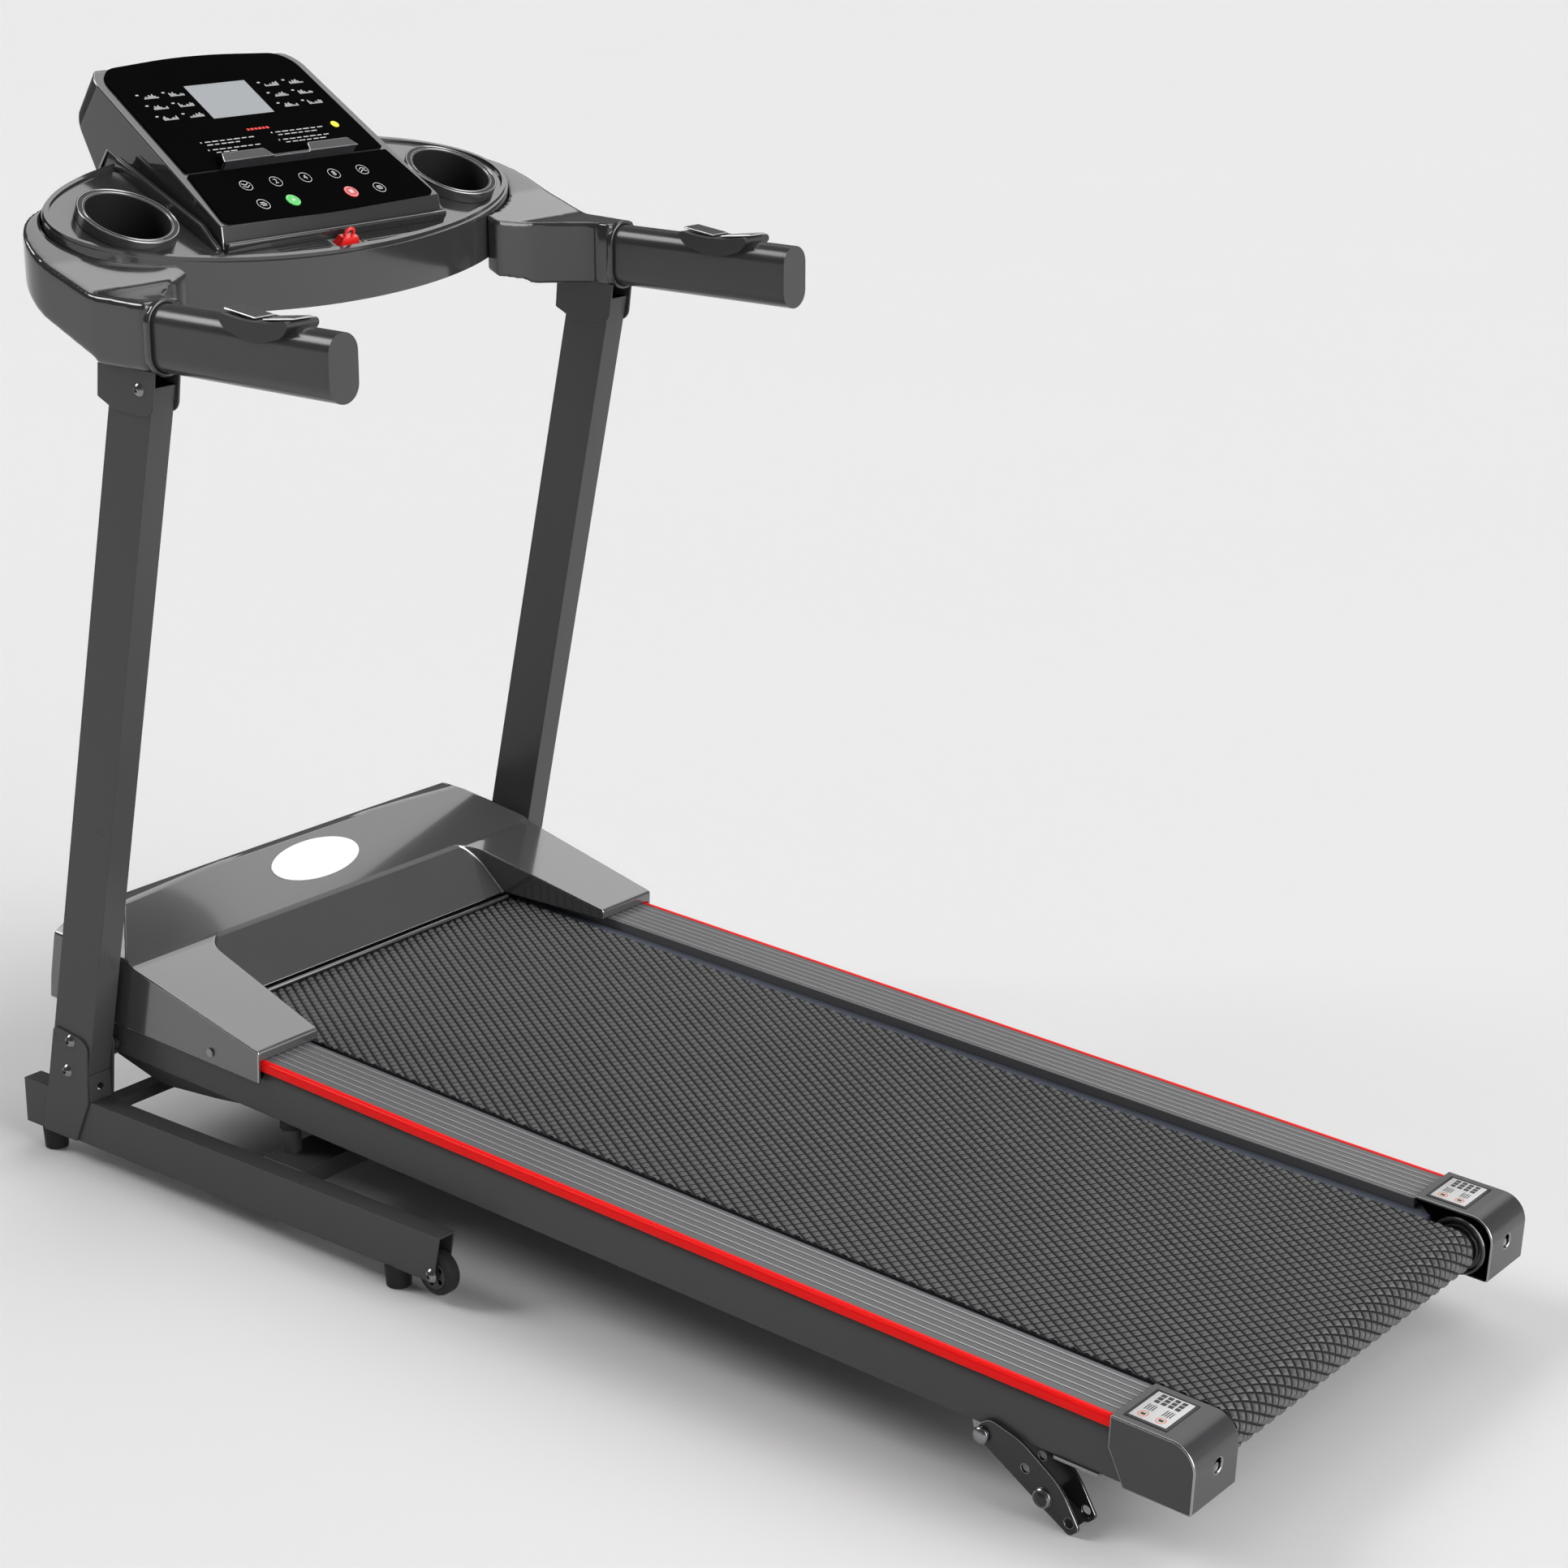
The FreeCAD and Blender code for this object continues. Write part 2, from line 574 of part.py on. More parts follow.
def drive_belt():
    """Thin loop round both pulleys, with a little room off their rims."""
    far = Vector(size("front_roller_at"), size("roller_up"), 0)
    near = Vector(size("motor_at"), size("motor_up"), 0)

    def loop(gap):
        big = size("large_pulley") + gap
        small = size("small_pulley") + gap
        run = near - far
        slope = math.atan2(run.y, run.x)
        spread = math.acos((big - small) / run.Length)

        def rim(centre, radius, angle):
            return centre + Vector(math.cos(angle), math.sin(angle), 0) * radius
        high, low = slope + spread, slope - spread
        return [Part.LineSegment(rim(far, big, high), rim(near, small, high)),
                Part.Arc(rim(near, small, high), rim(near, small, slope), rim(near, small, low)),
                Part.LineSegment(rim(near, small, low), rim(far, big, low)),
                Part.Arc(rim(far, big, low), rim(far, big, slope + math.pi), rim(far, big, high))]
    middle = -(size("pulley_side") + size("pulley_wide") / 2)
    outer = slab("DriveOuter", "YZ_Plane", loop(size("play") + 2), "pulley_wide - 4", deck_frame,
                 middle)
    inner = slab("DriveInner", "YZ_Plane", loop(size("play")), "pulley_wide + 4", deck_frame,
                 middle)
    keep(cut("DriveLoop", outer, inner), "drive_belt")


def hood_shape(name, inset):
    """Solid of the motor hood, drawn in by the wall for its inner face."""
    out = size("hood_out") - inset
    rear = size("hood_rear") + inset
    nose = size("hood_nose") - inset
    drop = inset * 1.1
    low = size("hood_skirt") - 2 * inset
    side = side_slab(name + "Side", [
        (rear, low), (nose, low), (nose - 2, 50 - drop, 10), (nose - 12, 112 - drop, 22),
        (42, 139 - drop, 12), (-36, 94 - drop, 30), (rear, 58 - drop, 4)],
        "2 * hood_out - %g" % (2 * inset), 0, deck_frame)
    face = slab(name + "Face", "XZ_Plane", outline([
        (-out, low, 0), (-out, 99 - drop, 5), (-249 + inset, 131 - drop, 16), (0, 139 - drop, 900),
        (249 - inset, 131 - drop, 16), (out, 99 - drop, 5), (out, low, 0)]),
        "400", deck_frame, 50)
    rear_cut = size("hood_rear") - 30
    plan = slab(name + "Plan", "XY_Plane", outline([
        (-219 - inset, rear_cut, 0), (-194 - inset, -30 + 2 * inset, 34),
        (194 + inset, -30 + 2 * inset, 34), (219 + inset, rear_cut, 0)]), "400", deck_frame)
    slope = side_slab(name + "Slope", [
        (rear_cut, -60), (-95 + inset, -60), (-95 + inset, 38), (-36 + inset, 93),
        (20 + inset, 150), (rear_cut, 150)], "500", 0, deck_frame)
    return cut(name + "Solid", common(name + "Outer", side, face),
               common(name + "Opening", plan, slope))


def motor_hood():
    outer = hood_shape("Hood", 0)
    inner = hood_shape("HoodInside", size("hood_wall"))
    rails = box("HoodFloor", "2 * hood_out - 4 * hood_wall + 4", "400", "rail_top - hood_skirt + 40",
                Vector(-size("hood_out") + 2 * size("hood_wall") - 2, -300,
                       size("hood_skirt") - 40 + 0.6), deck_frame)
    keep(cut("HoodShell", outer, fuse("HoodTools", inner, rails)), "motor_hood")


def belly_pan():
    low = size("side_bottom")
    belly = [(-195, low), (92, low), (92, low - 3, 2), (30, low - 4, 40), (-60, low - 22, 120),
             (-140, low - 12, 160), (-195, low - 3, 0)]
    outer = side_slab("BellyOuter", belly, "2 * side_out - 16", 0, deck_frame)
    inner_line = [(-189, low + 1), (88, low + 1), (88, low - 1, 0), (28, low - 2, 36),
                  (-60, low - 19, 110), (-140, low - 9, 150), (-189, low - 1, 0)]
    inner = side_slab("BellyInner", inner_line, "2 * side_out - 22", 0, deck_frame)
    keep(cut("BellyShell", outer, inner), "belly_pan")


def folding_feet():
    """Crescent foot: two plates, a web, a large rivet and its pivot bolt."""
    at = size("prop_pivot_at")
    up = size("prop_pivot_up")
    reach = size("prop_reach")
    turn = Placement(Vector(0, at, up), Rotation(Vector(1, 0, 0), size("prop_turn")))
    frame = deck_frame.multiply(turn)
    crescent = [(14, -6, 12), (2, 18, 12), (-30, 26, 60), (-78, 22, 60), (-reach - 9, 2, 5),
                (-reach - 5, -10, 5)]
    pieces = []
    for depth in (size("side_out") + 3.5, size("side_out") - size("side_wide") - 4.5):
        plate = side_slab("FootPlate", crescent, "prop_thick", -depth, frame)
        holes = [rod("FootHole", "4", "12", Vector(-depth - 6, -46, 8), Vector(1, 0, 0), frame),
                 rod("FootTipHole", "4.5", "12", Vector(-depth - 6, -reach + 2, 0),
                     Vector(1, 0, 0), frame)]
        pieces.append(cut("FootPlateCut", plate, fuse("FootHoles", *holes)))
    inner_face = -(size("side_out") - size("side_wide") - 3)
    web = side_slab("FootWeb", [(-reach - 4, -3, 0), (-reach - 1, -8, 0), (-72, -8, 0),
                                (-72, -5, 0), (-reach + 4, -5, 0)], "side_wide + 7",
                    inner_face - (size("side_wide") + 5) / 2, frame)
    outer_face = -(size("side_out") + 2)
    pieces.append(web)
    pieces.append(rod("FootPivot", "4", "side_wide + 13",
                      Vector(outer_face - 6, 0, 0), Vector(1, 0, 0), frame))
    pieces.append(dome_bolt("FootBolt", Vector(outer_face - 2.5, 0, 0), "bolt_radius"))
    pieces[-1].Placement = frame
    knob = doc.addObject("Part::Sphere", "FootKnob")
    bind(knob, Radius=cells("bolt_radius * 1.7"))
    knob.Placement.Base = Vector(outer_face + 3, -72, -1)
    knob_seat = rod("FootKnobSeat", "bolt_radius * 1.25", "15", Vector(outer_face - 17, -72, -1),
                    Vector(1, 0, 0))
    rivet = common("FootRivet", knob, knob_seat)
    rivet.Placement = frame
    pieces.append(rivet)
    both_sides("folding_foot", fuse("FoldingFoot", *pieces))


# ---------------------------------------------------------------- console and handles

def ellipse_slab(name, shrink, depth):
    """Upright elliptic column round the tray's middle, smaller by the shrink."""
    middle = Vector(0, 0, 0)
    ring = Part.Ellipse(middle, size("tray_half") - shrink, size("tray_deep") - shrink)
    place = Placement(Vector(0, size("tray_mid"), size("tray_up")), Rotation())
    return slab(name, "XY_Plane", [ring], depth, place)


def console_tray():
    thick = "tray_thick"
    column = ellipse_slab("TrayColumn", 0, "500")
    layer = box("TrayLayer", "800", "600", thick,
                Vector(-400, -200, -size("tray_thick")), tray_frame)
    hollow_column = ellipse_slab("TrayHollowColumn", size("shell"), "500")
    hollow_layer = box("TrayHollowLayer", "800", "600", "tray_thick",
                       Vector(-400, -200, -size("tray_thick") - size("shell")), tray_frame)
    tools = [common("TrayInside", hollow_column, hollow_layer)]
    for side in (-1, 1):
        place = Vector(side * size("cup_side"), size("cup_along"), -60)
        tools.append(rod("CupHole", "cup_radius + 3.2", "100", place, Vector(0, 0, 1), tray_frame))
        for i in range(6):
            low = Vector(side * 58 - 33, 10 + 4 * i, -10)
            tools.append(box("VentSlot", "66", "1.8", "30", low, tray_frame))
    tools.append(box("KeySocketHole", "40", "20", "20", Vector(-20, 9, -12), tray_frame))
    shell = cut("TrayShell", common("TrayBlock", column, layer), fuse("TrayTools", *tools))
    ridge = cut("RidgeRing", ellipse_slab("RidgeOuter", 2.5, "500"),
                ellipse_slab("RidgeInner", 7, "500"))
    ridge_layer = box("RidgeLayer", "800", "600", "3", Vector(-400, -200, 0), tray_frame)
    clear = [rod("CupRingClear", "cup_ring + 0.5", "100",
                 Vector(side * size("cup_side"), size("cup_along"), -60), Vector(0, 0, 1),
                 tray_frame) for side in (-1, 1)]
    clear.append(box("HousingClear", "310", "300", "40", Vector(-155, 60, -20), tray_frame))
    rim = cut("RimBand", common("RimRing", ridge, ridge_layer), fuse("RimClear", *clear))
    keep(fuse("ConsoleTray", shell, rim), "console_tray")


def cup_holders():
    cups = []
    for side in (-1, 1):
        top = Vector(side * size("cup_side"), size("cup_along"), size("cup_rise"))
        down = Vector(0, 0, -1)
        wall = rod("CupWall", "cup_radius + 3", "cup_deep", top, down, tray_frame)
        flange = rod("CupFlange", "cup_ring", "cup_rise", top, down, tray_frame)
        bore = rod("CupBore", "cup_radius", "cup_deep - 3", top, down, tray_frame)
        cups.append(cut("Cup", fuse("CupBody", wall, flange), bore))
    keep(group("CupHolders", *cups), "cup_holders")


def console_arms():
    """Side arm from the tray down to the collar that holds the handlebar."""
    out = size("arm_out")
    inner = size("arm_in")
    rear = size("collar_rear")
    profile = [(rear, 912, 3), (471, 913, 40), (530, 934, 20), (625, 982, 0), (625, 936, 0),
               (545, 886, 60), (470, 853, 0), (465, 848, 0), (rear, 848, 3)]
    side = side_slab("ArmSide", profile, "300", -(out - 60))
    plan = slab("ArmPlan", "XY_Plane", outline([
        (-out, rear, 4), (-out - 3, 470, 300), (-out - 3, 585, 75), (-255, 621.5, 0),
        (-225, 590, 0), (-214, 482, 8),
        (-250, 466, 60), (-inner, 420, 30), (-inner, rear, 4)]), "2200")
    tray_clear = ellipse_slab("ArmTrayClear", -0.3, "500")
    grip = oval_bar("ArmGripClear", 0.0, size("collar_rear") + size("grip_seat") + 1,
                    size("collar_rear") - 10)
    both_sides("console_arm", cut("Arm", common("ArmBlock", side, plan),
                                  fuse("ArmTools", tray_clear, grip)))


def oval_bar(name, shrink, front, rear):
    """Flat-oval bar along Y at the left handle's place, smaller by the shrink."""
    wide = size("grip_wide") / 2 - shrink
    high = size("grip_high") / 2 - shrink
    ends = [(-wide, -high, wide - 0.01), (wide, -high, wide - 0.01),
            (wide, high, wide - 0.01), (-wide, high, wide - 0.01)]
    place = Placement(Vector(-size("grip_side"), (front + rear) / 2, size("grip_up")), Rotation())
    return slab(name, "XZ_Plane", outline(ends), "%g" % (front - rear), place)


def handlebars():
    rear = size("grip_rear")
    front = size("collar_rear") + size("grip_seat")
    bar = oval_bar("GripBar", 0, front, rear + 3)
    hollow = oval_bar("GripHollow", size("grip_wall"), front + 10, rear - 10)
    both_sides("handlebar", cut("GripTube", bar, hollow))
    plug = fuse("EndPlug", oval_bar("PlugFace", 0, rear + 3, rear),
                oval_bar("PlugBody", size("grip_wall"), rear + 14, rear + 3))
    pair("handle_end_caps", plug)


def pulse_pods():
    """Boat-shaped sensor saddle on each handle with two metal contact plates."""
    side = -size("grip_side")
    top = size("grip_up") + size("grip_high") / 2
    boat = [(208, top + 7, 4), (258, top - 2, 200), (309, top + 6, 4), (296, top - 10, 20),
            (258, top - 20, 60), (222, top - 10, 20)]
    hull = side_slab("PodHull", boat, "grip_wide + 3", side)
    saddle = oval_bar("PodClear", 0, 400, 150)
    pair("pulse_pods", cut("Pod", hull, saddle))
    thick = 1.7    # the two plates slope down to the middle of the saddle
    plates = []
    for start, end, start_up, end_up in ((214, 253, 6.2, 1.6), (263, 303, 1.6, 6.4)):
        line = [(start, top + start_up), (end, top + end_up),
                (end, top + end_up + thick), (start, top + start_up + thick)]
        plates.append(side_slab("ContactPlate", line, "grip_wide - 12", side))
    pair("pulse_plates", *plates)


def housing_shape(name, inset):
    """Wedge of the display housing, drawn in by an inset."""
    slope = math.tan(math.radians(size("tray_tilt")))

    def tray_height(forward):
        return size("tray_up") + (forward - size("tray_at")) * slope
    rear = 500 + inset
    side = side_slab(name + "Side", [
        (rear, tray_height(rear) + 0.3 - 3 * inset, 0), (size("panel_at") + inset, 950 - inset, 3),
        (710 - inset, 1087 - 1.3 * inset, 8), (726 - inset, 1042, 10),
        (692 - inset, 984 + inset, 0), (675, tray_height(675) + 0.3 - 3 * inset, 0)],
        "320 - %g" % (2 * inset), 0)
    face = slab(name + "Face", "XY_Plane", outline([
        (-152 + inset, -30, 0), (-139 + inset, 246 - inset, 34), (0, 258 - inset, 700),
        (139 - inset, 246 - inset, 34), (152 - inset, -30, 0)]), "400", panel_frame)
    return common(name + "Block", side, face)


def display_housing():
    outer = housing_shape("Housing", 0)
    inner = housing_shape("HousingInside", size("shell"))
    keep(cut("HousingShell", outer, inner), "display_housing")


HIGH_ROW = size("key_row_high")
LOW_ROW = size("key_row_low")
KEYS = (("slower", -2, HIGH_ROW), ("speed_2", -1, HIGH_ROW), ("speed_4", 0, HIGH_ROW),
        ("speed_8", 1, HIGH_ROW), ("faster", 2, HIGH_ROW), ("program", -2, LOW_ROW),
        ("start", -1, LOW_ROW), ("stop", 1, LOW_ROW), ("mode", 2, LOW_ROW))


def display_face():
    """Gloss overlay with a display window and nine key holes, in the panel's own plane."""
    def sheet_of(name, corners, shift=0.0):
        place = panel_frame.multiply(Placement(Vector(0, 0, shift), Rotation()))
        return slab(name, "XY_Plane", outline(corners), "overlay_thick", place)
    lift = size("overlay_thick") / 2
    lower = sheet_of("OverlayLower", [(-145, 1, 8), (-136, 75, 2), (136, 75, 2), (145, 1, 8),
                                      (0, -3, 900)], lift)
    upper = sheet_of("OverlayUpper", [(-135, 79, 2), (-128, 239, 28), (0, 250, 700),
                                      (128, 239, 28), (135, 79, 2)], lift)
    corner = Vector(-size("lcd_wide") / 2, size("lcd_at"), 0)
    gap = size("lcd_gap")
    holes = [box("LcdHole", "lcd_wide", "lcd_high", "6", corner - Vector(0, 0, 2), panel_frame)]
    for _, across, along in KEYS:
        holes.append(rod("KeyHole", "key_radius + key_gap", "6",
                         Vector(across * size("key_pitch"), along, -2), Vector(0, 0, 1),
                         panel_frame))
    keep(cut("Overlay", fuse("OverlaySheets", lower, upper), fuse("OverlayHoles", *holes)),
         "display_overlay")
    keep(box("Lcd", "lcd_wide - 2 * lcd_gap", "lcd_high - 2 * lcd_gap", "1.6",
             corner + Vector(gap, gap, 0), panel_frame), "lcd_window")
    for node, across, along in KEYS:
        start = Vector(across * size("key_pitch"), along, 0.9)
        keep(rod("Key_" + node, "key_radius", "key_thick", start, Vector(0, 0, 1), panel_frame),
             "key_" + node)


def tablet_ledge():
    base = [(-90, 75.2), (90, 75.2), (90, 78.8), (-90, 78.8)]
    shelf = slab("LedgeShelf", "XY_Plane", outline(base), "12",
                 panel_frame.multiply(Placement(Vector(0, 0, 6), Rotation())))
    tabs = []
    for side in (-1, 1):
        tab = [(side * 92, 75.2, 0), (side * 24, 75.2, 0), (side * 30, 88, 3), (side * 86, 88, 3)]
        tabs.append(slab("LedgeTab", "XY_Plane", outline(tab), "2.4",
                         panel_frame.multiply(Placement(Vector(0, 0, 12), Rotation()))))
    keep(fuse("TabletLedge", shelf, *tabs), "tablet_ledge")


def safety_key():
    corner = Vector(-size("socket_wide") / 2, 9.5, -7)
    wall = size("socket_wall")
    socket = box("SocketBlock", "socket_wide", "socket_deep", "6", corner, tray_frame)
    well = box("SocketWell", "socket_wide - 8", "socket_deep - 2 * socket_wall", "6",
               corner + Vector(wall + 1, wall, wall), tray_frame)
    keep(cut("SafetySocket", socket, well), "safety_socket")
    base = doc.addObject("Part::Wedge", "KeyBase")
    base.Xmin, base.Xmax, base.Zmin, base.Zmax = 0, 30, 0, 12
    base.X2min, base.X2max, base.Z2min, base.Z2max = 5, 25, 2, 10
    base.Ymin, base.Ymax = 0, 11
    turn = Placement(Vector(-15, 25, -3.8), Rotation(Vector(1, 0, 0), 90))
    base.Placement = tray_frame.multiply(turn)
    ring = doc.addObject("Part::Torus", "KeyRing")
    bind(ring, Radius1=cells("key_radius * 0.7"), Radius2=cells("key_thick * 1.2"))
    ring.Placement = tray_frame.multiply(Placement(Vector(0, 19, 9.5),
                                                   Rotation(Vector(1, 0, 0), 90)))
    keep(fuse("SafetyKey", base, ring), "safety_key")


for build in (base_rails, cross_tubes, rubber_feet, rest_posts, wheels, stand_hardware,
              upright_brackets, uprights, upper_brackets, deck_sides, deck_cross_tubes,
              deck_board, running_belt, rollers, foot_rails, rear_end_caps, deck_hardware,
              motor_drive, drive_belt, motor_hood, belly_pan, folding_feet, console_tray,
              cup_holders, console_arms, handlebars, pulse_pods, display_housing, display_face,
              tablet_ledge, safety_key):
    build()
doc.recompute()

for item in doc.Objects:
    if "Invalid" in item.State or "Error" in item.State:
        raise RuntimeError("failed object " + item.Name)
for item in parts:
    if item.Shape.isNull() or not item.Shape.isValid() or not item.Shape.Solids:
        raise RuntimeError("bad sub-part " + item.Label)

os.makedirs("parts", exist_ok=True)
for item in parts:
    item.Shape.exportStep("parts/%s.step" % item.Label)
print("sub-parts:", len(parts))
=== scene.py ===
import bpy
import json
import math
from mathutils import Matrix, Vector

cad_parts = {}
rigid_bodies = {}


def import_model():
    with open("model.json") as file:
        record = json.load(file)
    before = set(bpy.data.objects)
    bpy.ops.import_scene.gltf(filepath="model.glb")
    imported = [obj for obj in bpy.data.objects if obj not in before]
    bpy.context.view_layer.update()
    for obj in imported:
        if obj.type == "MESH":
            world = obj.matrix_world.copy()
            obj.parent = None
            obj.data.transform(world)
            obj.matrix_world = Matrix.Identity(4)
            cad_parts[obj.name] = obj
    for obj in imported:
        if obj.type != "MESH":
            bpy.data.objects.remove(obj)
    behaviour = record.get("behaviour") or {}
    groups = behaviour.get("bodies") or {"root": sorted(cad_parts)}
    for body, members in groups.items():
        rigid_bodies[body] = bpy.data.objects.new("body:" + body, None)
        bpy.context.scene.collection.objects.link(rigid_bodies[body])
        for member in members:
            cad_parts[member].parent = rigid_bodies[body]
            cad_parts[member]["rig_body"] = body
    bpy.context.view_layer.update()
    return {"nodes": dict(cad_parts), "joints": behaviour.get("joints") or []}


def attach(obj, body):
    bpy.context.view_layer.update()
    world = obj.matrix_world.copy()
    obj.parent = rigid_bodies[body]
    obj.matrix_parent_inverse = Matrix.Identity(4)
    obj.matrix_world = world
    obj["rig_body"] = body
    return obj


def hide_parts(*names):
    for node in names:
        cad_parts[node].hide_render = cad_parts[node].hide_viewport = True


# folding home treadmill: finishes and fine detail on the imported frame, in metres

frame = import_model()
nodes = frame["nodes"]
joints = {joint["name"]: joint for joint in frame["joints"]}
bpy.context.scene.cursor.location = (0, 0, 0)
print("frame loaded", len(nodes), "nodes")

tilts = {"deck": 2.4, "tray": 25.0, "panel": 33.5, "hoodSlope": 30.0}   # degrees
places = {"tray": (0, 0.469, 0.912), "panel": (0, 0.503, 0.950)}


def tiltedPlace(origin, degrees):
    return Matrix.Translation(Vector(origin)) @ Matrix.Rotation(math.radians(degrees), 4, 'X')


deckPlace = tiltedPlace(joints["deck_fold"]["pos_m"], tilts["deck"])
trayPlace = tiltedPlace(places["tray"], tilts["tray"])
panelPlace = tiltedPlace(places["panel"], tilts["panel"])


# workshop habits, used by every piece below

def clearSelection():
    if bpy.context.object and bpy.context.object.mode != 'OBJECT':
        bpy.ops.object.mode_set(mode='OBJECT')
    bpy.ops.object.select_all(action='DESELECT')


def pickUp(piece):
    clearSelection()
    piece.select_set(True)
    bpy.context.view_layer.objects.active = piece


def settle(piece, place=None):
    # bakes the object's place into its mesh
    if place is not None:
        piece.matrix_world = place @ piece.matrix_world
    pickUp(piece)
    bpy.ops.object.transform_apply(location=True, rotation=True, scale=True)
    return piece


def pickFaces(piece, wanted):
    # selects faces by a test on centre and normal, in edit mode afterwards
    pickUp(piece)
    bpy.ops.object.mode_set(mode='EDIT')
    bpy.ops.mesh.select_mode(type='FACE')
    bpy.ops.mesh.select_all(action='DESELECT')
    bpy.ops.object.mode_set(mode='OBJECT')
    for face in piece.data.polygons:
        face.select = wanted(face.center, face.normal)
    bpy.ops.object.mode_set(mode='EDIT')


def bevelEdges(piece, width, steps=2, angle=35, slot=-1, clamped=True):
    pickUp(piece)
    bevel = piece.modifiers.new("edgeBevel", 'BEVEL')
    bevel.material = slot
    bevel.width = width
    bevel.segments = steps
    bevel.limit_method = 'ANGLE'
    bevel.angle_limit = math.radians(angle)
    bevel.use_clamp_overlap = clamped
    bpy.ops.object.modifier_apply(modifier=bevel.name)
    return piece


def repeat(piece, step, count):
    pickUp(piece)
    rows = piece.modifiers.new("rows", 'ARRAY')
    rows.use_relative_offset = False
    rows.use_constant_offset = True
    rows.constant_offset_displace = step
    rows.count = count
    bpy.ops.object.modifier_apply(modifier=rows.name)
    return piece


def block(name, size, centre, bevel=0.0, steps=2):
    clearSelection()
    bpy.ops.mesh.primitive_cube_add(size=1, location=centre)
    piece = bpy.context.object
    piece.name = name
    piece.scale = size
    settle(piece)
    if bevel:
        bevelEdges(piece, bevel, steps)
    return piece


def disc(name, radius, thick, centre, sides=48, bevel=0.0):
    clearSelection()
    bpy.ops.mesh.primitive_cylinder_add(vertices=sides, radius=radius, depth=thick, location=centre)
    piece = bpy.context.object
    piece.name = name
    settle(piece)
    if bevel:
        bevelEdges(piece, bevel, 2, 50)
    return piece


def ring(name, radius, wire, centre, flat=1.0):
    clearSelection()
    bpy.ops.mesh.primitive_torus_add(major_radius=radius, minor_radius=wire, major_segments=48,
                                     minor_segments=8, location=centre)
    piece = bpy.context.object
    piece.name = name
    piece.scale.z = flat
    return settle(piece)


def joined(name, pieces):
    clearSelection()
    for piece in pieces:
        piece.select_set(True)
    bpy.context.view_layer.objects.active = pieces[0]
    bpy.ops.object.join()
    piece = bpy.context.object
    piece.name = name
    return piece


def finish(piece, body, material, smooth=35, covers=()):
    pickUp(piece)
    bpy.ops.object.shade_smooth_by_angle(angle=math.radians(smooth))
    piece.data.materials.clear()
    piece.data.materials.append(material)
    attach(piece, body)
    if covers:
        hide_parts(*covers)
    return piece


# finishes: one dictionary each, all with drift and grain

def newFinish(name, colour, roughness, metallic=0.0, specular=0.5, coat=0.0, coatRoughness=0.1):
    material = bpy.data.materials.new(name)
    material.use_nodes = True
    shader = material.node_tree.nodes["Principled BSDF"]
    shader.inputs["Base Color"].default_value = (*colour, 1)
    shader.inputs["Roughness"].default_value = roughness
    shader.inputs["Metallic"].default_value = metallic
    shader.inputs["Specular IOR Level"].default_value = specular
    shader.inputs["Coat Weight"].default_value = coat
    shader.inputs["Coat Roughness"].default_value = coatRoughness
    return material, material.node_tree, shader


def grain(tree, scale, detail=3.0, stretch=(1, 1, 1)):
    # noise on object coordinates, shared by colour, roughness and bump
    place = tree.nodes.new("ShaderNodeTexCoord")
    turn = tree.nodes.new("ShaderNodeMapping")
    turn.inputs["Scale"].default_value = stretch
    noise = tree.nodes.new("ShaderNodeTexNoise")
    noise.inputs["Scale"].default_value = scale
    noise.inputs["Detail"].default_value = detail
    tree.links.new(place.outputs["Object"], turn.inputs["Vector"])
    tree.links.new(turn.outputs["Vector"], noise.inputs["Vector"])
    return noise.outputs["Fac"]


def spread(tree, source, low, high):
    # the noise hardly leaves its middle part, which is stretched from low to high
    ranged = tree.nodes.new("ShaderNodeMapRange")
    ranged.inputs["From Min"].default_value = 0.3
    ranged.inputs["From Max"].default_value = 0.7
    ranged.inputs["To Min"].default_value = low
    ranged.inputs["To Max"].default_value = high
    tree.links.new(source, ranged.inputs["Value"])
    return ranged.outputs["Result"]


def tinted(tree, source, colour, change):
    mix = tree.nodes.new("ShaderNodeMix")
    mix.data_type = 'RGBA'
    mix.inputs["A"].default_value = (*[c * (1 - change) for c in colour], 1)
    mix.inputs["B"].default_value = (*[min(1, c * (1 + change)) for c in colour], 1)
    tree.links.new(source, mix.inputs["Factor"])
    return mix.outputs["Result"]


def raised(tree, shader, source, strength, depth):
    bump = tree.nodes.new("ShaderNodeBump")
    bump.inputs["Strength"].default_value = strength
    bump.inputs["Distance"].default_value = depth
    tree.links.new(source, bump.inputs["Height"])
    tree.links.new(bump.outputs["Normal"], shader.inputs["Normal"])


usualLook = {"metal": 0.0, "specular": 0.5, "coat": 0.0, "coatRough": 0.1, "drift": 0.08,
             "driftScale": 9, "roughDrift": 0.05, "grain": 0.15, "grainScale": 900,
             "grainDepth": 0.0004, "stretch": (1, 1, 1)}


def surface(name, ownLook):
    # one finish from its dictionary: colour drift, roughness drift and a fine grain
    look = {**usualLook, **ownLook}
    material, tree, shader = newFinish(name, look["colour"], look["rough"], look["metal"],
                                       look["specular"], look["coat"], look["coatRough"])
    drift = grain(tree, look["driftScale"], 4.0, look["stretch"])
    tree.links.new(tinted(tree, drift, look["colour"], look["drift"]), shader.inputs["Base Color"])
    rougher = spread(tree, drift, look["rough"] - look["roughDrift"], look["rough"] + look["roughDrift"])
    tree.links.new(rougher, shader.inputs["Roughness"])
    fine = grain(tree, look["grainScale"], 2.0, look["stretch"])
    raised(tree, shader, fine, look["grain"], look["grainDepth"])
    return material


